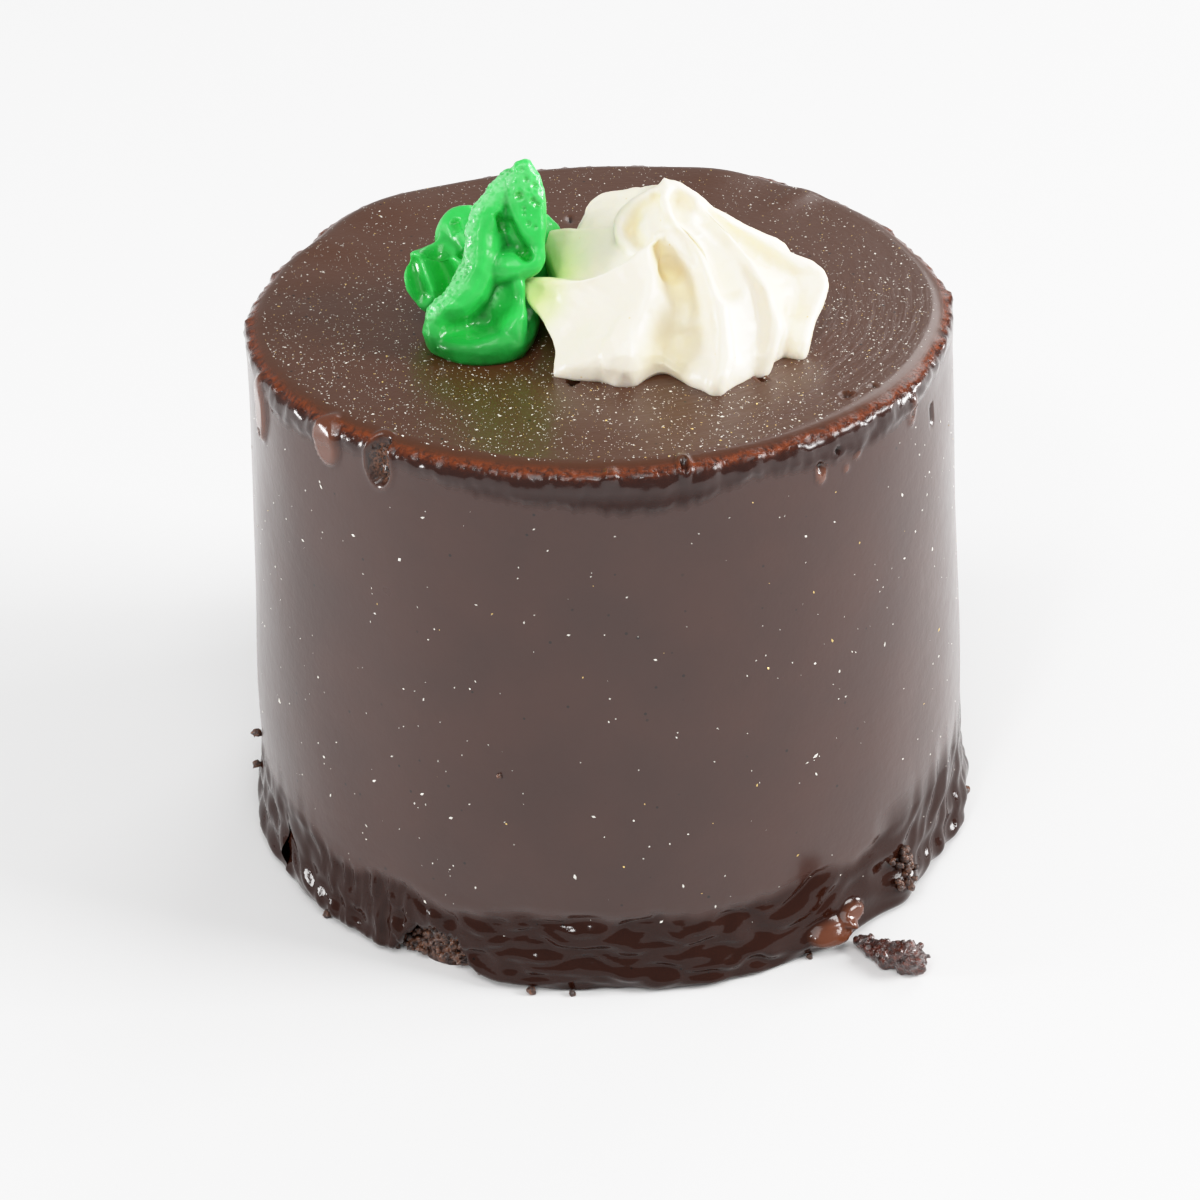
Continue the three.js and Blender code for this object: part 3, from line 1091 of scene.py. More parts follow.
    def ripples(self, angle: float, z: float) -> float:
        """Slack folds of icing round the foot, which lie flat at the front and run down on the flanks.

        Args:
            angle: round the cake.
            z: the height.

        Returns:
            How far the folds stand out, or in where it is below 0.
        """
        a = math.radians(angle) * self.cake.foot_radius
        edge = self.wet_edge(angle)
        if z > edge + 3:
            return 0.0
        turned = turn_between(angle, -90)
        steep = ease(24, 55, abs(turned))
        slant = a - math.copysign(0.8 * steep, turned) * z
        slow = grain(slant / lerp(5.0, 3.2, steep), z / lerp(1.8, 5.5, steep), 2.0)
        quick = grain(slant / lerp(2.6, 1.7, steep) + 5, z / lerp(1.05, 3.2, steep) + slow, 6.0)
        folds = 0.5 * slow + lerp(0.46, 0.28, steep) * quick
        groove = 0.32 * bump(z - edge + 0.7, 0.9) * (1 - steep)
        return ease(edge + 0.5, edge - 1.4, z) * folds - groove

    def marks(self, marks: tuple[Mark, ...], angle: float, along: float, radius: float) -> Marked:
        """What blisters and holes do at a place of the skin.

        Args:
            marks: the marks of this stretch of the skin.
            angle: round the cake.
            along: height on the side, or radius on the top.
            radius: turns degrees into a distance round.

        Returns:
            How far they lift the skin, and the values that they keep.
        """
        lift, kept = 0.0, dict.fromkeys(("blister", "pit", "crumb"), 0.0)
        for mark in marks:
            if abs(turn_between(angle, mark.angle)) > self.mark_reach:
                continue
            d = mark.distance(angle, along, radius)
            inside = ease(1.1, 0.82, d)
            lift += mark.lift * inside * (1 + mark.crumb * 0.5 * grain(angle * 1.6, along * 1.3, 0.0))
            kept["blister"] = max(kept["blister"], mark.blister * inside)
            kept["pit"] = max(kept["pit"], mark.pit * ease(1.0, 0.75, d))
            kept["crumb"] = max(kept["crumb"], mark.crumb * ease(1.0, 0.8, d))
        return lift, kept

    def side_point(self, angle: float, level: float, hem: float) -> Placed:
        """A point on the side.

        Args:
            angle: round the cake.
            level: the height, which is held above the hem.
            hem: height of the icing's lower edge.

        Returns:
            The point and its kept values.
        """
        cake = self.cake
        z = max(level, hem + 0.12 + 0.1 * level)
        arc = z - cake.bend_start - cake.half_bend
        out, kept = self.lip(angle, arc) if arc > -8 else (0.0, {"rim": 0.0, "bead": 0.0})
        lift, marked = self.marks(self.marks_on_side, angle, z, cake.shoulder)
        uneven = self.ripples(angle, z) + cake.sway(angle, z) * ease(0, 12, z) - 0.35 * bump(z - hem, 0.45)
        edge = self.wet_edge(angle)
        blur = ease(10.0, 12.0, edge)
        foot = ease(edge + 0.4 + blur, edge - 1.2 - blur, z)
        radius = cake.side(angle, z) + out + lift + uneven
        return polar(angle, radius, z), kept | marked | {"foot": foot, "top": 0.0}

    def rim_point(self, angle: float, turn: float) -> Placed:
        """A point on the rim's bend.

        Args:
            angle: round the cake.
            turn: 0 at the side and 1 at the top.

        Returns:
            The point and its kept values.
        """
        cake = self.cake
        out, up = math.cos(turn * math.pi / 2), math.sin(turn * math.pi / 2)
        lip, kept = self.lip(angle, (2 * turn - 1) * cake.half_bend)
        level = cake.bend_start + cake.rim_bend * turn
        lift, marked = self.marks(self.marks_on_side, angle, level, cake.shoulder)
        radius = cake.shoulder - cake.rim_bend * (1 - out) + cake.lump_out(angle) * (1 - 0.5 * turn)
        radius += cake.sway(angle, cake.height) * (1 - turn) + (lip + lift) * out
        z = cake.height - cake.rim_bend * (1 - up) + cake.lump_up(angle) * (0.4 + 0.6 * up)
        return polar(angle, radius, z + (lip + lift) * up), kept | marked | {"foot": 0.0, "top": 0.0}

    def top_point(self, angle: float, radius: float) -> Placed:
        """A point on the top.

        Args:
            angle: round the cake.
            radius: from the middle of the even cake.

        Returns:
            The point and its kept values.
        """
        cake = self.cake
        rim = cake.shoulder - cake.rim_bend
        inward = rim - radius
        out, kept = self.lip(angle, cake.half_bend + inward)
        lift, marked = self.marks(self.holes_on_top, angle, radius, max(radius, 8.0))
        share = radius / rim
        x, y, _ = polar(angle, (rim + 0.5 * cake.lump_out(angle)) * share, 0.0)
        raised = cake.lump_up(angle) * bump(1 - share, 0.16)
        roll = 0.07 * grain(x / 9, y / 9, 4.0) * ease(0, 5, inward)
        streaky = ease(55, 20, abs(turn_between(angle, -38))) * ease(14, 24, radius)
        z = cake.height + raised + out + lift + roll
        return (x, y, z), kept | marked | {"foot": 0.0, "top": 0.25 + 0.75 * streaky}


@dataclass
class Sponge:
    """The sponge under the icing, with the open crumb of the bare place at its foot."""

    cake: Cake
    around: int = 288
    crumb_out: float = 1.2
    crumb_top: float = 3.3
    edge_bend: float = 1.4
    levels: tuple[float, ...] = (
        0.0, 0.0, 0.4, 0.8, 1.2, 1.6, 2.0, 2.4, 2.8, 3.3, 4.0, 6.0, 28.0, 52.0, 54.0, 54.5, 54.7, 54.7,
    )

    def build(self) -> list[bpy.types.Object]:
        """Makes the sponge.

        Returns:
            The one piece.
        """
        last = len(self.levels) - 1

        def place(turn: float, index: int) -> Placed:
            """Point on a ring of the sponge.

            Args:
                turn: share of a turn round the cake.
                index: the ring, of which the first and the last shrink to a point.

            Returns:
                The point, with no values to keep.
            """
            angle, z = turn * 360 - 180, self.levels[index]
            if index in (0, last):
                return (0.0, 0.0, z), {}
            open_crumb = self.cake.bare(angle, 0.62) * ease(self.crumb_top, self.crumb_top - 0.9, z)
            rough = 1 + 0.5 * grain(angle * 0.8, z * 1.6, 0.0)
            rounded = self.edge_bend * ease(53, 54.9, z)
            radius = self.cake.core_radius(z) - rounded + self.crumb_out * open_crumb * rough
            return polar(angle, radius, z), {}

        piece = wrapped("sponge_core", self.around, last, place)
        return [finish_piece(piece, CrumbFinish("sponge_crumb").material(), "crumb", "sponge")]


# ---- Crumbs ------------------------------------------------------------------------------------------------


def lump(
    made: bmesh.types.BMesh, centre: Point, size: Point, fineness: int, rough: float, seed: float
) -> None:
    """Adds one uneven crumb to a mesh.

    Args:
        made: the mesh, in millimetres.
        centre: the crumb's middle.
        size: its three radii.
        fineness: subdivisions of the ball that it starts as.
        rough: how uneven it is, as a share of its size.
        seed: sets its shape.
    """
    ball = bmesh.ops.create_icosphere(made, subdivisions=fineness, radius=1.0)
    for vertex in ball["verts"]:
        d = vertex.co.copy()
        uneven = noise.noise(d * 1.3 + Vector((seed, 0, 0)))
        uneven += 0.5 * noise.noise(d * 3.1 + Vector((0, seed, 0)))
        uneven += 0.3 * noise.noise(d * 6.5 + Vector((0, 0, seed)))
        d *= 1 + rough * uneven
        vertex.co = Vector((d.x * size[0], d.y * size[1], d.z * size[2])) + Vector(centre)
        vertex.co.z = max(vertex.co.z, 0.02)


@dataclass
class FallenCrumbs:
    """Iced crumbs that fell in a trail beside the foot: large lumps with small ones stuck to them."""

    start: Point = (24.6, -32.3, 0.0)
    end: Point = (29.0, -35.6, 0.0)
    lumps: int = 9
    bits: int = 7
    rough: float = 0.5
    voxel: float = 0.11
    finish: CrumbFinish = CrumbFinish("iced_crumb", (0.018, 0.003, 0.0014), (0.14, 0.024, 0.009), 0.3, 0.75)

    def build(self) -> list[bpy.types.Object]:
        """Makes the trail as one fused, crumbly string.

        Returns:
            The one piece.
        """
        draw = random.Random(11)

        def pile(made: bmesh.types.BMesh) -> None:
            """Heaps the crumbs.

            Args:
                made: the mesh that they are added to.
            """
            for i in range(self.lumps):
                t = i / (self.lumps - 1)
                size = 0.95 + 0.75 * t**2 + 0.2 * math.sin(5 * i)
                x = lerp(self.start[0], self.end[0], t) + 0.4 * math.sin(3 * i)
                y = lerp(self.start[1], self.end[1], t) + 0.4 * math.cos(4 * i)
                lump(made, (x, y, size * 0.8), (size * 0.9, size * 0.9, size * 0.95), 3, self.rough, 3.7 * i)
                for _ in range(self.bits):
                    a, up = draw.uniform(0, math.tau), draw.uniform(-0.5, 1.0)
                    small = draw.uniform(0.22, 0.42)
                    out = size * math.sqrt(max(1 - up * up, 0.1))
                    at = (x + out * math.cos(a), y + out * math.sin(a), max(size * (0.8 + 0.85 * up), small))
                    lump(made, at, (small, small, small), 2, self.rough, draw.uniform(0, 50))

        piece = fused("fallen_iced_crumbs", pile, self.voxel, 1)
        return [finish_piece(piece, self.finish.material(), "fallen_crumbs", "fallen_crumbs")]


@dataclass
class FootCrumbs:
    """Crumbs that stick to the foot: the open crumb of the bare place, a clump on the right and flecks.

    stuck gives the angle, height and stand-off of single flecks on the side, and loose the angles of those
    that lie on the table.
    """

    cake: Cake
    bare_count: int = 230
    bare_spread: float = 3.12
    clump_count: int = 34
    clump_angle: float = -40.0
    clump_spread: float = 1.3
    stuck: tuple[Point, ...] = ((-107.1, 24.4, 0.05), (-176, 8.6, 0.5), (-178, 7.9, 0.9), (-173, 6.0, 0.6))
    loose: tuple[float, ...] = (-168.5, -141, -103, -97, -60, -8, 24, 96, 140)
    finish: CrumbFinish = CrumbFinish("open_crumb", (0.02, 0.006, 0.0035), (0.2, 0.075, 0.035), 0.5, 0.25)

    def build(self) -> list[bpy.types.Object]:
        """Makes the crumbs as joined lumps.

        Returns:
            The one piece.
        """
        cake, draw = self.cake, random.Random(23)

        def scatter(made: bmesh.types.BMesh) -> None:
            """Lays every crumb on the foot.

            Args:
                made: the mesh that they are added to.
            """
            for _ in range(self.bare_count):
                angle = cake.bare_angle + draw.gauss(0, self.bare_spread)
                z = draw.uniform(0.1, 1.0) * (cake.bare_height - 0.2) * cake.bare(angle, 0.95)
                size = draw.uniform(0.16, 0.46)
                out = cake.core_radius(z) + 1.15 - 0.16 * z + draw.uniform(-0.3, 0.35)
                lump(made, polar(angle, out, z + size), (size, size, size * 0.9), 2, 0.7, draw.uniform(0, 90))
            for _ in range(self.clump_count):
                angle, z = self.clump_angle + draw.gauss(0, self.clump_spread), draw.uniform(2.6, 6.8)
                size = draw.uniform(0.2, 0.45)
                at = polar(angle, cake.side(angle, z) + draw.uniform(-0.1, 0.4), z)
                lump(made, at, (size, size, size), 2, 0.6, draw.uniform(0, 90))
            for angle, z, stand in self.stuck:
                size = 0.26 + 0.2 * (stand > 0.3)
                at = polar(angle, cake.side(angle, z) + stand, z)
                lump(made, at, (size, size * 0.8, size), 2, 0.8, draw.uniform(0, 90))
            for angle in self.loose:
                size = draw.uniform(0.25, 0.5)
                at = polar(angle, cake.side(angle, size) + size * 0.4, size * 0.9)
                lump(made, at, (size, size, size), 2, 0.6, draw.uniform(0, 90))

        piece = solid_of("foot_crumbs", scatter)
        smooth(piece)
        return [finish_piece(piece, self.finish.material(), "fallen_crumbs")]


# ---- Piped cream -------------------------------------------------------------------------------------------


def add_hull(made: bmesh.types.BMesh, balls: Sequence[Ball]) -> None:
    """Adds the convex hull of some balls to a mesh.

    Args:
        made: the mesh, in millimetres.
        balls: a centre and a radius for each.
    """
    loose = bmesh.new()
    for centre, radius in balls:
        bmesh.ops.create_icosphere(loose, subdivisions=2, radius=radius, matrix=Matrix.Translation(centre))
    bmesh.ops.delete(loose, geom=loose.edges[:], context="EDGES_FACES")
    hull = bmesh.ops.convex_hull(loose, input=loose.verts[:])
    faces = [face for face in hull["geom"] if isinstance(face, bmesh.types.BMFace)]
    copies = {corner: made.verts.new(corner.co) for corner in {v for face in faces for v in face.verts}}
    for face in faces:
        made.faces.new([copies[corner] for corner in face.verts])
    loose.free()


@dataclass(frozen=True)
class Dent:
    """A bubble, hollow or crease pressed into the cream along a line.

    width is its half width, depth how far it is pressed in, reach how far in front of and behind the line
    it is felt, and wet how much painted shade it gets: a dark green with a real gloss in the green cream, and
    a yellow shade in the white cream's creases.
    """

    line: tuple[Point, ...]
    width: float
    depth: float
    reach: float = 2.5
    wet: float = 1.0

    def at(self, point: Vector) -> float:
        """Share of the dent at a point.

        Args:
            point: the place in the swirl's own frame.

        Returns:
            0 away from the dent to 1 on its line.
        """
        offset = point - nearest(self.line, point)
        deep = offset.dot(PRESSED)
        if abs(deep) > self.reach:
            return 0.0
        aside = (offset - PRESSED * deep).length / self.width
        return ease(1.5, 0.0, aside) * ease(self.reach, self.reach * 0.55, abs(deep))


def press(dents: Sequence[Dent], point: Vector) -> tuple[float, float]:
    """What dents do at a point.

    Args:
        dents: every dent of a swirl.
        point: the place in the swirl's own frame.

    Returns:
        How far they press it in, and the painted shade (with gloss, on the green) that they give it.
    """
    shares = [(dent, dent.at(point)) for dent in dents]
    return sum(dent.depth * share for dent, share in shares), max(dent.wet * share for dent, share in shares)


@dataclass(frozen=True)
class Ridge:
    """A ridge of the piped swirl.

    crest holds stations from its inner end near the peak to its foot, thick its edge's radius at the two
    ends, and before and after how near to it the cream between comes, as a share of its reach, on its two
    sides at the top and the bottom.
    """

    crest: tuple[Point, ...]
    thick: tuple[float, float] = (0.6, 0.6)
    before: tuple[float, float] = (0.85, 0.85)
    after: tuple[float, float] = (0.98, 0.98)

    def edge(self, share: float) -> Ball:
        """Ball on the crest."""
        return Vector(curve(self.crest, share)), lerp(*self.thick, share)

    def beside(self, share: float, reach: tuple[float, float]) -> Ball:
        """Ball next to the crest.

        Args:
            share: how far down the crest.
            reach: the share of the crest's reach that it is drawn in to, at the top and at the bottom.

        Returns:
            The ball.
        """
        point, radius = self.edge(share)
        inward = lerp(*reach, share)
        sunk = (1 - inward) * 3.0
        return Vector((point.x * inward, point.y * inward, max(point.z - sunk, 0.3))), radius * 0.9


@dataclass
class WhiteSwirl:
    """The swirl of white cream: ridges that turn in to a low peak, one lying over the next.

    green_at is where the green cream lies against it: it stains it, and its bounced green light is painted
    on.
    """

    cake: Cake
    middle: tuple[float, float] = (7.5, -6.5)
    steps: int = 14
    voxel: float = 0.2
    smoothing: int = 9
    hollow_passes: int = 40
    green_at: tuple[float, float] = (-11.5, -3.5)
    ridges: tuple[Ridge, ...] = (
        # Back left.
        Ridge((
            (-0.8, 1.4, 13.3), (-1.6, 3.4, 12.6), (-2.3, 5.5, 11.6), (-4.1, 9.5, 9.6), (-6.6, 11.7, 8.2),
            (-7.9, 11.9, 7.2), (-8.3, 11.2, 5.0), (-8.2, 10.8, 2.6), (-8.6, 11.4, 0.3),
        ), before=(0.8, 0.8)),
        # Left.
        Ridge((
            (-1.8, 0.9, 12.2), (-2.6, 1.1, 11.6), (-3.9, 1.9, 10.0), (-5.7, 2.7, 8.9), (-7.2, 3.7, 8.2),
            (-9.2, 5.0, 7.6), (-11.1, 6.1, 7.0), (-12.6, 6.8, 6.3), (-12.7, 7.0, 4.4), (-12.4, 7.2, 2.4),
            (-12.0, 7.0, 0.3),
        ), before=(0.82, 0.8)),
        # Front left.
        Ridge((
            (-1.6, -2.6, 10.6), (-1.9, -3.4, 10.4), (-3.5, -4.5, 9.4), (-5.5, -4.9, 8.4), (-7.4, -5.0, 7.6),
            (-9.3, -4.5, 6.9), (-11.2, -3.6, 6.3), (-13.1, -2.4, 5.9), (-14.7, -1.3, 5.3),
            (-13.3, -4.3, 4.0), (-11.9, -6.6, 2.8), (-11.4, -8.2, 1.6), (-11.7, -9.7, 0.3),
        ), thick=(0.5, 0.5), before=(0.78, 0.72), after=(1.0, 1.0)),
        # Front face.
        Ridge((
            (-1.3, -3.2, 9.4), (-2.1, -4.6, 7.8), (-3.1, -5.9, 6.2), (-4.1, -7.1, 4.6), (-4.8, -8.2, 3.2),
            (-5.2, -9.2, 2.2), (-5.4, -10.0, 1.6),
        ), thick=(1.1, 2.9), before=(1.0, 1.0), after=(1.0, 1.0)),
        # Front dip.
        Ridge((
            (-0.8, -3.6, 8.6), (-0.5, -4.8, 7.2), (-0.4, -6.0, 5.9), (-0.7, -7.2, 4.6), (-1.1, -8.2, 3.2),
            (-1.5, -9.0, 2.0), (-1.8, -9.6, 1.4),
        ), thick=(0.8, 2.0), before=(1.0, 1.0), after=(0.9, 0.98)),
        # Front.
        Ridge((
            (-0.9, 0.6, 13.9), (-0.8, -1.5, 13.2), (0.0, -2.8, 12.0), (1.2, -3.6, 10.9), (2.3, -4.9, 9.8),
            (3.0, -7.0, 8.4), (3.5, -9.1, 6.8), (3.8, -10.8, 4.7), (4.0, -12.0, 2.9), (3.7, -13.3, 1.6),
            (3.1, -13.9, 0.4),
        ), thick=(0.75, 1.05), before=(0.78, 0.97), after=(0.85, 0.98)),
        # Front right.
        Ridge((
            (-0.2, 1.0, 13.8), (1.6, 0.2, 12.7), (3.6, -1.3, 11.4), (5.7, -3.4, 9.8), (7.3, -5.2, 8.2),
            (8.5, -6.9, 6.4), (8.9, -8.3, 4.6), (8.6, -9.6, 2.8), (8.0, -10.2, 1.2), (7.4, -10.4, 0.3),
        ), thick=(0.75, 0.95), before=(0.68, 0.94), after=(0.88, 0.93)),
        # Right.
        Ridge((
            (0.2, 1.6, 13.4), (2.2, 1.4, 12.0), (4.6, 0.4, 10.5), (7.5, -0.4, 8.7), (10.4, -0.7, 7.0),
            (12.6, -0.6, 5.9), (13.8, -1.1, 4.9), (13.5, -2.6, 3.6), (12.4, -4.4, 2.2), (11.8, -6.2, 1.2),
            (11.4, -7.2, 0.3),
        ), thick=(0.75, 0.8), before=(0.75, 0.86)),
        # Back right.
        Ridge((
            (0.4, 1.8, 13.0), (1.4, 3.2, 11.6), (4.0, 4.4, 9.4), (7.2, 5.2, 7.2), (9.6, 6.0, 5.6),
            (10.8, 6.8, 4.2), (10.7, 7.0, 3.0), (10.5, 7.0, 1.8), (10.8, 7.2, 0.3),
        )),
        # Back.
        Ridge((
            (-0.2, 2.2, 13.3), (-0.2, 4.2, 12.2), (1.0, 7.0, 10.4), (2.4, 9.8, 8.4), (3.6, 12.0, 6.6),
            (4.0, 13.2, 5.0), (3.8, 13.0, 3.4), (3.6, 12.6, 1.8), (3.8, 12.8, 0.3),
        )),
    )
    curl: tuple[Point, ...] = (
        (-0.6, 1.5, 13.6), (-1.7, 1.1, 13.3), (-3.3, 1.6, 12.2), (-4.7, 1.9, 10.8), (-5.3, 0.9, 9.7),
        (-4.7, -0.6, 8.8), (-3.6, -2.4, 8.6),
    )
    curl_steps: int = 10
    curl_radius: float = 0.8
    tip: tuple[tuple[Point, float], ...] = (((-0.8, 1.2, 13.4), 0.9), ((-1.0, 1.3, 14.5), 0.35))
    # The last number of each crease is how much painted yellow shade it gets.
    creases: tuple[Dent, ...] = (
        Dent(((-1.7, -3.6, 10.0), (-1.1, -4.8, 9.2), (-0.6, -5.7, 8.6)), 0.8, 1.6, 4.5, 0.85),
        Dent((
            (-1.2, -4.8, 9.2), (-0.5, -5.9, 8.4), (0.2, -7.2, 7.4), (0.7, -8.4, 6.1),
        ), 1.3, 1.1, 5.0, 0.45),
        Dent(((-0.2, -6.6, 7.8), (0.8, -8.6, 5.9), (0.9, -9.6, 4.4)), 2.2, 0.8, 5.0, 0.1),
        Dent((
            (0.2, -0.7, 13.0), (0.3, -2.6, 12.1), (1.2, -4.3, 11.3), (2.3, -5.3, 10.4), (3.5, -6.3, 9.2),
            (4.6, -7.8, 7.2),
        ), 1.2, 1.2, 4.5, 0.2),
        Dent((
            (3.4, -1.4, 11.9), (5.8, -2.4, 10.0), (8.0, -3.6, 8.6), (9.8, -4.8, 6.6), (10.5, -6.5, 4.8),
        ), 1.5, 1.1, 4.5, 0.2),
        Dent((
            (-1.9, 1.5, 12.4), (-3.3, 1.6, 11.4), (-4.2, 0.1, 10.2), (-3.5, -1.8, 9.6),
        ), 0.7, 0.4, 3.0, 0.5),
        Dent(((-0.4, -9.6, 3.4), (-1.2, -10.7, 1.6)), 2.6, 1.6, 5.0, 0.4),
        Dent(((-7.4, -5.8, 6.4),), 3.6, 0.8, 5.0, 0.0),
        Dent(((-12.0, -4.6, 3.6), (-10.4, -6.2, 3.2)), 1.6, 0.6, 5.0, 0.0),
    )

    def build(self) -> list[bpy.types.Object]:
        """Makes the swirl: ridges and the cream between them, fused by a remesh and smoothed.

        Returns:
            The one piece.
        """
        piece = fused("white_cream_swirl", self.shape, self.voxel, self.smoothing)
        self.settle(piece)
        return [finish_piece(piece, WhiteCreamFinish().material(), "white_cream", "white_swirl")]

    def shape(self, made: bmesh.types.BMesh) -> None:
        """Adds every ridge, the cream between neighbours, and the curl and the tip at the peak.

        Args:
            made: the mesh that they are added to.
        """
        for ridge, after in zip(self.ridges, (*self.ridges[1:], self.ridges[0])):
            for i in range(self.steps):
                a, b = i / self.steps, (i + 1) / self.steps
                self.wedge(made, [ridge.edge(a), ridge.edge(b)])
                left = [ridge.beside(share, ridge.after) for share in (a, b)]
                right = [after.beside(share, after.before) for share in (a, b)]
                self.wedge(made, left + right)
        for i in range(self.curl_steps):
            shares = (i / self.curl_steps, (i + 1) / self.curl_steps)
            self.wedge(made, [(Vector(curve(self.curl, share)), self.curl_radius) for share in shares])
        add_hull(made, [(Vector(at), radius) for at, radius in self.tip])

    @staticmethod
    def wedge(made: bmesh.types.BMesh, outer: list[Ball]) -> None:
        """Adds the hull of outer balls and of balls near the axis, so that the piece is filled inside.

        Args:
            made: the mesh that it is added to.
            outer: the balls on the outside.
        """
        roots = [
            (Vector((point.x * 0.3, point.y * 0.3, max(point.z * 0.72, 0.4))), radius + 0.3)
            for point, radius in outer
        ]
        add_hull(made, [*outer, *roots])

    def settle(self, piece: bpy.types.Object) -> None:
        """Puts the swirl in its place and marks its grooves and where the green lies against it.

        Args:
            piece: the fused swirl, in its own frame.
        """
        deep: list[float] = []
        green: list[float] = []
        depths = hollows(piece, self.hollow_passes)

        def move(i: int, p: Vector, normal: Vector) -> Vector:
            """New place of a point, in the cake's own frame.

            Args:
                i: the point's index.
                p: its place.
                normal: its normal.

            Returns:
                The new place.
            """
            pressed, crease_shade = press(self.creases, p)
            inner = ease(10.5, 5.0, math.hypot(p.x, p.y))
            # Painted shade: the creases, and the hollows near the peak, are painted yellower.
            deep.append(min(crease_shade + ease(0.02, 0.35, depths[i]) * inner * 0.5, 1.0))
            uneven = 0.18 * grain(p.x / 3.2, p.y / 3.2, p.z / 3.2 + 9) + 0.08 * grain(*(p / 1.4))
            uneven += 0.03 * grain(*(p / 0.7))
            p = p + normal * (uneven - 0.6 * pressed) + PRESSED * (0.4 * pressed)
            seated = self.cake.seat(p, self.middle)
            # The green's stain and painted green bounce light, near the green and low down.
            away = math.hypot(seated.x - self.green_at[0], seated.y - self.green_at[1])
            green.append(0.8 * ease(13.0, 8.0, away) * ease(10.0, 5.0, p.z))
            return seated

        reshape(piece, move)
        keep_values(piece, groove=deep, near_green=green)


@dataclass(frozen=True)
class Fold:
    """A torn sheet of cream: stations of its crest from the top down, each a place and the edge's radius."""

    name: str
    crest: tuple[tuple[float, float, float, float], ...]

    def ball(self, share: float) -> Ball:
        """Ball on the crest at a share of the way down."""
        *place, radius = curve(self.crest, share)
        return Vector(place), radius


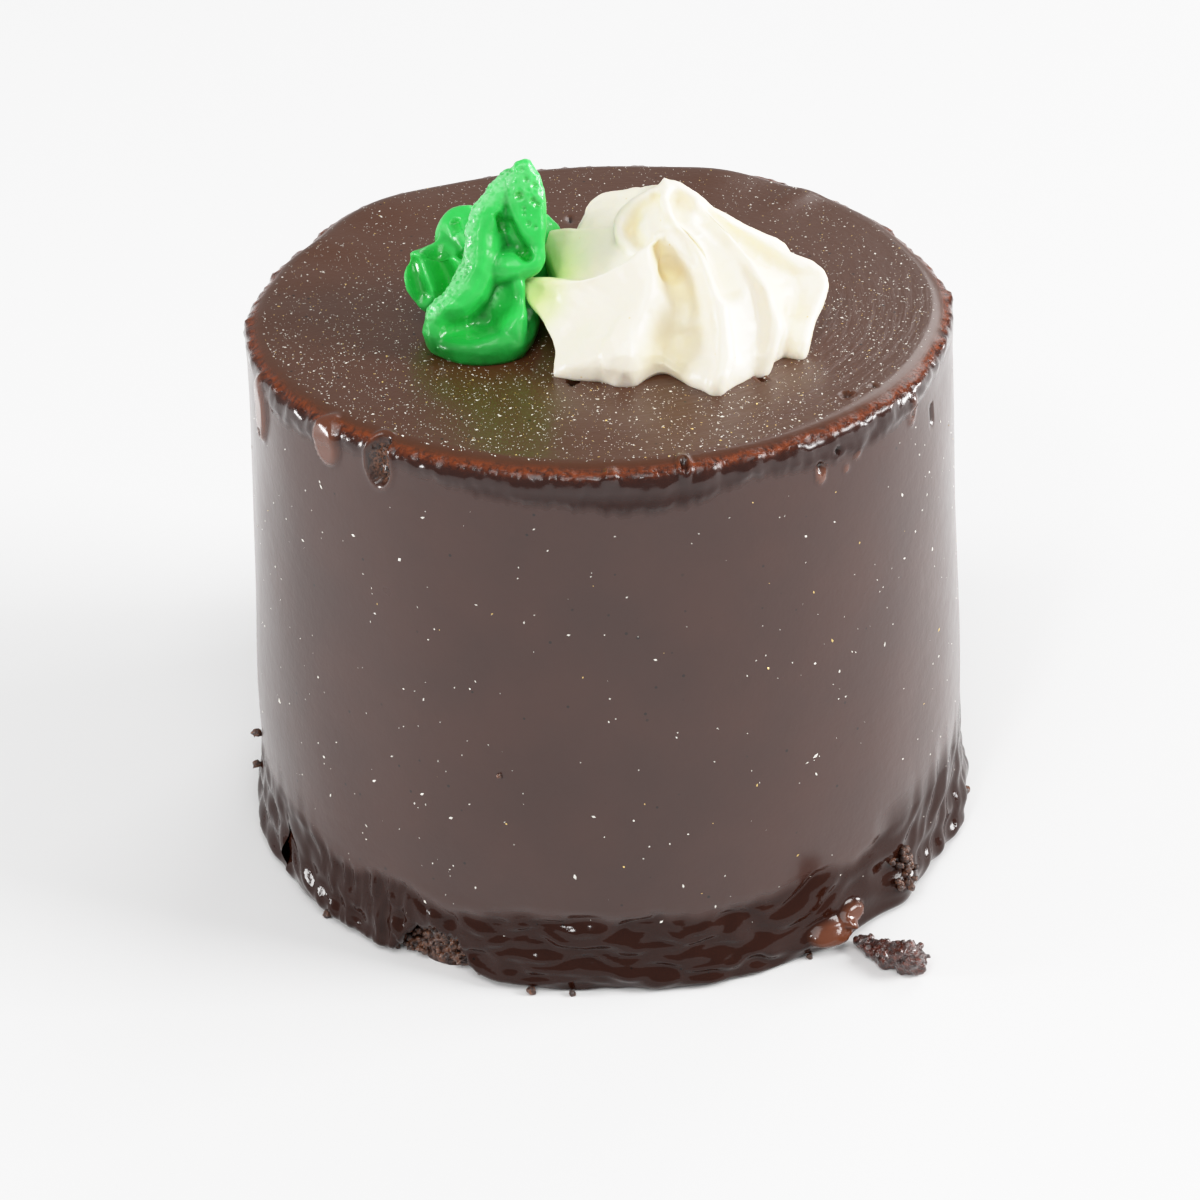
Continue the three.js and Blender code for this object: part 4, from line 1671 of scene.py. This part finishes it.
@dataclass
class GreenSwirl:
    """The ruffle of green cream: a frothy main fold, a dimpled flap over a wet pocket, and curls behind.

    lean is how far its core leans at the top, webs name folds that one sheet joins, and froth_side is the
    side on which the main fold, the first one, is torn and frothy.
    """

    cake: Cake
    middle: tuple[float, float] = (-11.5, -5.5)
    height: float = 17.0
    lean: tuple[float, float] = (4.6, 1.0)
    steps: int = 14
    voxel: float = 0.17
    smoothing: int = 7
    hollow_passes: int = 30
    spine_steps: int = 20
    froth_side: Point = (-0.8, -0.25, 0.55)
    folds: tuple[Fold, ...] = (
        Fold("main", (
            (3.4, 0.8, 15.0, 1.0), (2.3, 0.2, 13.6, 1.3), (1.2, -0.6, 12.2, 1.5), (0.6, -1.2, 10.6, 1.6),
            (0.4, -2.0, 9.0, 1.7), (0.2, -2.9, 7.3, 1.8), (-0.9, -3.8, 5.5, 1.9), (-2.4, -4.7, 4.0, 1.9),
            (-3.7, -5.2, 2.7, 1.8), (-3.8, -5.4, 1.5, 1.5),
        )),
        Fold("flap_left", (
            (4.2, 0.6, 16.0, 0.7), (3.8, 0.0, 14.4, 1.0), (3.9, -0.6, 12.9, 1.0), (4.2, -1.4, 11.9, 0.7),
        )),
        Fold("flap_right", (
            (4.9, 0.8, 16.2, 0.7), (5.6, 0.4, 14.4, 0.9), (5.9, -0.4, 12.4, 1.0), (5.9, -1.6, 10.6, 0.8),
            (6.0, -2.4, 9.2, 0.6),
        )),
        Fold("lip", (
            (2.1, -2.6, 7.2, 1.5), (3.3, -3.0, 7.4, 1.5), (4.4, -2.9, 7.6, 1.4), (5.3, -2.7, 7.9, 1.2),
            (5.8, -2.5, 8.8, 0.8),
        )),
        Fold("front", (
            (3.8, -4.0, 6.0, 0.8), (3.4, -4.8, 4.6, 1.2), (3.1, -5.6, 3.0, 1.6), (3.0, -6.2, 1.5, 1.6),
        )),
        Fold("foot", (
            (-3.8, -4.8, 1.3, 1.5), (-2.4, -6.2, 1.2, 1.6), (-0.6, -7.0, 1.2, 1.6), (1.6, -7.0, 1.2, 1.6),
            (3.4, -6.0, 1.3, 1.5), (4.4, -3.0, 1.3, 1.3), (4.6, 0.6, 1.2, 1.3),
        )),
        Fold("curl_outer", (
            (-6.3, 2.2, 6.5, 0.4), (-6.9, 1.4, 5.2, 0.45), (-6.6, 0.8, 3.5, 0.5), (-5.4, 0.8, 2.0, 0.55),
            (-4.2, 1.2, 1.0, 0.6),
        )),
        Fold("curl_middle", (
            (-5.8, 1.8, 6.7, 0.4), (-5.0, 0.9, 5.3, 0.4), (-4.4, 0.2, 3.7, 0.45), (-3.6, -0.6, 2.3, 0.5),
        )),
        Fold("curl_top", (
            (-6.3, 2.2, 6.5, 0.5), (-5.0, 3.2, 6.6, 0.5), (-3.8, 4.6, 6.7, 0.5), (-3.1, 5.8, 7.0, 0.7),
        )),
        Fold("back_left", (
            (-0.9, 6.4, 8.6, 1.2), (-2.3, 6.6, 8.0, 1.4), (-3.1, 7.0, 6.2, 1.4), (-2.6, 7.0, 3.0, 1.3),
            (-2.4, 6.8, 1.2, 1.3),
        )),
        Fold("back", ((2.4, 6.4, 8.4, 1.3), (2.8, 7.4, 5.0, 1.4), (2.6, 7.4, 1.2, 1.4))),
        Fold("back_right", ((6.2, 6.6, 7.8, 1.0), (7.0, 6.6, 6.0, 1.1), (6.0, 6.0, 1.2, 1.2))),
    )
    webs: tuple[tuple[str, ...], ...] = (("flap_left", "flap_right"),)
    # The wet of each dent, 1 where none is given, is how much painted dark shade and gloss it gets.
    dents: tuple[Dent, ...] = (
        Dent(((2.3, -2.2, 12.4), (2.6, -2.6, 11.4)), 0.42, 0.75),
        Dent(((4.2, -0.6, 13.7),), 0.42, 0.4),
        Dent(((4.5, 0.3, 16.0),), 0.24, 0.2, wet=0.2),
        Dent(((4.9, -0.1, 15.1),), 0.26, 0.25, wet=0.3),
        Dent(((5.5, -0.7, 13.2),), 0.3, 0.3, wet=0.6),
        Dent(((5.9, -0.9, 12.9),), 0.3, 0.3, wet=0.8),
        Dent(((5.0, -1.6, 11.2),), 0.26, 0.25, wet=0.3),
        Dent(((5.6, -1.9, 11.0),), 0.22, 0.2, wet=0.3),
        Dent(((4.6, -1.0, 12.5),), 0.2, 0.2, wet=0.5),
        Dent(((5.7, -0.2, 14.6),), 0.3, 0.25, wet=0.7),
        Dent(((4.6, -1.5, 12.2),), 0.2, 0.18, wet=0.3),
        Dent(((3.0, -2.9, 12.0), (3.5, -3.3, 10.9), (4.2, -3.7, 9.8), (4.7, -4.1, 9.3)), 0.62, 1.1),
        Dent((
            (2.9, -5.4, 5.2), (1.8, -6.0, 4.2), (0.3, -6.7, 3.5), (-1.2, -7.0, 3.1), (-2.7, -6.9, 3.2),
        ), 1.45, 1.2, 3.0, 0.3),
        Dent(((-6.5, 1.3, 6.2), (-6.2, 0.5, 5.0), (-5.7, 0.0, 3.6)), 0.9, 0.9, 2.5, 0.6),
        Dent((
            (-3.9, 2.4, 6.2), (-3.1, 0.7, 4.8), (-2.9, -0.3, 3.8), (-3.3, -1.3, 3.2),
        ), 1.3, 1.7, 4.0, 0.8),
        Dent(((-2.1, 6.0, 7.8), (-1.8, 5.0, 6.8), (-1.5, 3.5, 5.8)), 0.6, 1.0, 3.5, 0.8),
    )

    def core(self, z: float) -> Vector:
        """The leaning core at a height."""
        t = min(max(z / self.height, 0.0), 1.0)
        return Vector((self.lean[0] * t**1.3, self.lean[1] * t + 1.2 * math.sin(math.pi * t), z))

    def build(self) -> list[bpy.types.Object]:
        """Makes the ruffle: folds fused by a remesh, smoothed, dented and roughened.

        Returns:
            The one piece.
        """
        piece = fused("green_cream_ruffle", self.shape, self.voxel, self.smoothing)
        self.settle(piece)
        return [finish_piece(piece, GreenCreamFinish().material(), "green_cream", "green_swirl")]

    def shape(self, made: bmesh.types.BMesh) -> None:
        """Adds every fold, and the sheets that join some of them.

        Args:
            made: the mesh that they are added to.
        """
        named = {fold.name: fold for fold in self.folds}
        for names in (*((name,) for name in named), *self.webs):
            self.add_sheet(made, [named[name] for name in names])

    def add_sheet(self, made: bmesh.types.BMesh, folds: list[Fold]) -> None:
        """Adds one sheet, as hulls over neighbouring stations of its folds' crests and the core.

        Args:
            made: the mesh that it is added to.
            folds: the folds that share it.
        """
        stations: list[list[Ball]] = []
        for i in range(self.steps + 1):
            balls: list[Ball] = []
            for fold in folds:
                point, radius = fold.ball(i / self.steps)
                root = self.core(min(point.z * 0.85, self.height - 4)).lerp(point, 0.12)
                balls += [(point, radius), (root, radius + 0.4)]
            stations.append(balls)
        for before, after in zip(stations, stations[1:]):
            add_hull(made, [*before, *after])

    def settle(self, piece: bpy.types.Object) -> None:
        """Puts the ruffle in its place and marks its froth, bubbles and hollows.

        Args:
            piece: the fused ruffle, in its own frame.
        """
        froth: list[float] = []
        dents: list[float] = []
        shade: list[float] = []
        spine = [self.folds[0].ball(i / self.spine_steps) for i in range(self.spine_steps + 1)]
        side = Vector(self.froth_side).normalized()
        depths = hollows(piece, self.hollow_passes)

        def move(i: int, p: Vector, normal: Vector) -> Vector:
            """New place of a point, in the cake's own frame.

            Args:
                i: the point's index.
                p: its place.
                normal: its normal.

            Returns:
                The new place.
            """
            near = min((p - centre).length - radius for centre, radius in spine)
            edge = ease(1.0, 0.2, near) * ease(0.72, 0.96, normal.dot(side)) * ease(2.6, 4.5, p.z)
            tip = ease(12.5, 14.5, p.z) * 0.3
            curls = ease(-3.4, -4.6, p.x) * ease(0.05, -0.3, depths[i]) * 0.3
            foam = min(edge + tip + curls, 1.0)
            pressed, wet = press(self.dents, p)
            froth.append(foam)
            # How much painted shade and gloss the dents give.
            dents.append(min(wet, 1.0))
            shade.append(max(ease(-0.1, 0.24, depths[i]), 0.8 * ease(5.0, 0.6, p.z)))
            uneven = 0.13 * grain(*(p / 2.0)) + 0.05 * grain(*(p / 0.8))
            bubbles = noise.voronoi(p * 2.8)[0][0] * 1.5 + 0.6 * grain(p.x / 0.7, p.y / 0.7, p.z / 1.2)
            ruffle = 0.3 * grain(p.x / 1.5 + 7, p.y / 1.5, p.z / 1.1) * edge
            out = uneven + ruffle + foam * (0.17 * bubbles - 0.08) - 0.4 * pressed
            return self.cake.seat(p + normal * out + PRESSED * (0.6 * pressed), self.middle)

        reshape(piece, move)
        keep_values(piece, froth=froth, dent=dents, shade=shade)


# ---- Shimmer dust ------------------------------------------------------------------------------------------


class Dust(Enum):
    """Kinds of dust, with their finishes."""

    PALE = DustFinish("pale_dust", (1.0, 0.96, 0.86), 0.0)
    GOLD = DustFinish("gold_dust", (0.95, 0.66, 0.22), 0.5)


@dataclass(frozen=True)
class Sprinkling:
    """How one face of the cake is dusted.

    count is the number of flakes, size their middling half width, vary how much it varies, largest its
    limit, and pale the share of pale ones.
    """

    count: int
    size: float
    vary: float
    largest: float
    pale: float

    def flake(self, draw: random.Random) -> tuple[float, Dust]:
        """Draws the size and the kind of one flake."""
        size = min(self.size * math.exp(draw.gauss(0, self.vary)), self.largest)
        return size, Dust.PALE if draw.random() < self.pale else Dust.GOLD


@dataclass
class ShimmerDust:
    """Flakes of shimmer dust on the cake: thick on the top, more so in front, and thin on the side.

    reach is the radius of the dusted top, at_back the share of flakes that is left behind, and keep_off
    gives circles under the swirls that get none.
    """

    icing: Icing
    top: Sprinkling = Sprinkling(7600, 0.037, 0.45, 0.14, 0.86)
    side: Sprinkling = Sprinkling(760, 0.064, 0.5, 0.18, 0.93)
    reach: float = 33.2
    at_back: float = 0.42
    keep_off: tuple[Point, ...] = ((7.5, -6.5, 12.6), (-11.5, -5.0, 6.6))
    tilt: float = 0.3
    thickness: float = 0.35

    def build(self) -> list[bpy.types.Object]:
        """Makes one piece for each kind of dust.

        Returns:
            The pieces.
        """
        draw = random.Random(41)
        places: dict[Dust, list[Flake]] = {kind: [] for kind in Dust}
        while sum(map(len, places.values())) < self.top.count:
            angle, radius = draw.uniform(-180, 180), self.reach * math.sqrt(draw.random())
            x, y, _ = polar(angle, radius, 0.0)
            if any(math.hypot(x - cx, y - cy) < r for cx, cy, r in self.keep_off):
                continue
            if draw.random() > lerp(self.at_back, 1.0, ease(18.0, -14.0, y)):
                continue
            size, kind = self.top.flake(draw)
            places[kind].append((Vector(self.icing.top_point(angle, radius)[0]), Vector((0, 0, 1)), size))
        for _ in range(self.side.count):
            angle = draw.uniform(-180, 180)
            z = 5 + 47 * draw.random() ** 0.8
            size, kind = self.side.flake(draw)
            at = self.icing.side_point(angle, z, 0.2)[0]
            places[kind].append((Vector(at), Vector(polar(angle, 1.0, 0.0)), size))
        pieces = []
        for kind, flakes in places.items():
            piece = self.flakes(f"shimmer_dust_{kind.name.lower()}", flakes, draw)
            pieces.append(finish_piece(piece, kind.value.material(), "icing"))
        return pieces

    def flakes(self, name: str, flakes: list[Flake], draw: random.Random) -> bpy.types.Object:
        """Joins flakes into one piece, each a flat six-cornered crystal lying on the surface.

        Args:
            name: the piece's name.
            flakes: the place, the surface's normal and the size of each.
            draw: turns, tilts and stretches them.

        Returns:
            The piece.
        """
        points: list[Vector] = []
        faces: list[tuple[int, int, int]] = []
        for at, normal, size in flakes:
            side = normal.orthogonal().normalized()
            side.rotate(Matrix.Rotation(draw.uniform(0, math.tau), 3, normal))
            up = Matrix.Rotation(draw.gauss(0, self.tilt), 3, side) @ normal
            along, across = side * (size * draw.uniform(1.0, 2.0)), up.cross(side) * size
            thick = up * (size * self.thickness)
            start = len(points)
            points.extend((at + c) * MM for c in (along, across, -along, -across, thick, -thick))
            for k in range(4):
                a, b = start + k, start + (k + 1) % 4
                faces += [(a, b, start + 4), (b, a, start + 5)]
        mesh = bpy.data.meshes.new(name)
        mesh.from_pydata(points, [], faces)
        return linked(name, mesh)


# ---- Studio ------------------------------------------------------------------------------------------------


@dataclass(frozen=True)
class Lamp:
    """A soft light that faces the cake: its place and size in millimetres, and its power in watts."""

    name: str
    at: Point
    size: tuple[float, float]
    power: float

    def hang(self, target: Point) -> None:
        """Hangs the lamp.

        Args:
            target: the place that it faces.
        """
        data = bpy.data.lights.new(self.name, "AREA")
        data.shape = "RECTANGLE"
        data.size, data.size_y = self.size[0] * MM, self.size[1] * MM
        data.energy = self.power
        lamp = linked(self.name, data)
        lamp.location = Vector(self.at) * MM
        lamp.rotation_euler = (Vector(self.at) - Vector(target)).to_track_quat("Z", "Y").to_euler()


@dataclass
class Studio:
    """Pale floor, soft light and the camera.

    elevation, distance, aim and roll place the camera, and roll_off gives the shown brightness by the
    brightness of the light, up to white.
    """

    elevation: float = 31.22
    distance: float = 320.0
    focal: float = 91.65
    aim: Point = (-0.77, 0.0, 22.31)
    roll: float = -1.7
    sky: float = 0.4
    roll_off: Stations = ((0.35, 0.35), (0.6, 0.575), (0.9, 0.79), (1.2, 0.91), (1.5, 0.965))
    white: float = 1.8
    floor_size: float = 6000.0
    floor_shade: Colour = (0.87, 0.87, 0.87)
    lit: Point = (0.0, 0.0, 30.0)
    lamps: tuple[Lamp, ...] = (
        Lamp("key_light", (1190, -230, 680), (520, 460), 17.0),
        Lamp("front_light", (-150, -780, 1460), (1200, 800), 12.5),
        Lamp("back_panel", (600, 1210, 940), (760, 740), 7.0),
        Lamp("right_light", (1000, 180, 170), (300, 200), 7.0),
        Lamp("left_light", (-1000, -120, 190), (300, 200), 6.5),
        Lamp("front_glint", (-430, -980, 900), (150, 150), 3.0),
    )

    def build(self) -> None:
        """Makes the floor, the lights and the camera."""
        self.floor()
        for lamp in self.lamps:
            lamp.hang(self.lit)
        self.world()
        self.camera()
        self.tone()

    def floor(self) -> None:
        """Lays a wide pale floor."""
        deselect()
        bpy.ops.mesh.primitive_plane_add(size=self.floor_size * MM)
        plane = bpy.context.object
        plane.name = "floor"
        g = Graph("pale_floor")
        g.set(Base_Color=self.floor_shade, Roughness=0.9, Specular_IOR_Level=0.1)
        plane.data.materials.append(g.material)

    def world(self) -> None:
        """Lights the scene evenly from all round."""
        world = bpy.data.worlds.new("studio")
        bpy.context.scene.world = world
        world.use_nodes = True
        background = world.node_tree.nodes["Background"]
        background.inputs["Color"].default_value = (1.0, 1.0, 1.0, 1.0)
        background.inputs["Strength"].default_value = self.sky

    def tone(self) -> None:
        """Rolls the highlights off softly, as film does, so that white cream keeps its shape."""
        settings = bpy.context.scene.view_settings
        settings.view_transform = "Standard"
        settings.use_curve_mapping = True
        mapping = settings.curve_mapping
        mapping.white_level = (self.white,) * 3
        for bright, shown in self.roll_off:
            mapping.curves[3].points.new(bright / self.white, shown)
        mapping.update()

    def camera(self) -> None:
        """Puts the camera at the viewing angle."""
        e, r = math.radians(self.elevation), math.radians(self.roll)
        back = Vector((0, -math.cos(e), math.sin(e)))
        right = Vector((1, 0, 0))
        up = back.cross(right)
        turned_right = right * math.cos(r) + up * math.sin(r)
        turned_up = up * math.cos(r) - right * math.sin(r)
        data = bpy.data.cameras.new("camera")
        data.lens = self.focal
        data.sensor_width = 36.0
        data.clip_start, data.clip_end = 0.01, 20.0
        camera = linked("camera", data)
        turn = Matrix((turned_right, turned_up, back)).transposed().to_4x4()
        turn.translation = (Vector(self.aim) + back * self.distance) * MM
        camera.matrix_world = turn
        bpy.context.scene.camera = camera


def main() -> None:
    """Builds the cake, its toppings and the studio in order, and reports each piece."""
    logging.basicConfig(level=logging.INFO, format="%(name)s: %(message)s")
    cake = Cake()
    icing = Icing(cake)
    parts = (
        Sponge(cake),
        icing,
        FootCrumbs(cake),
        FallenCrumbs(),
        WhiteSwirl(cake),
        GreenSwirl(cake),
        ShimmerDust(icing),
    )
    for part in parts:
        for piece in part.build():
            LOG.info("%s: %d faces", piece.name, len(piece.data.polygons))
    Studio().build()
    deselect()


if __name__ == "__main__":
    main()
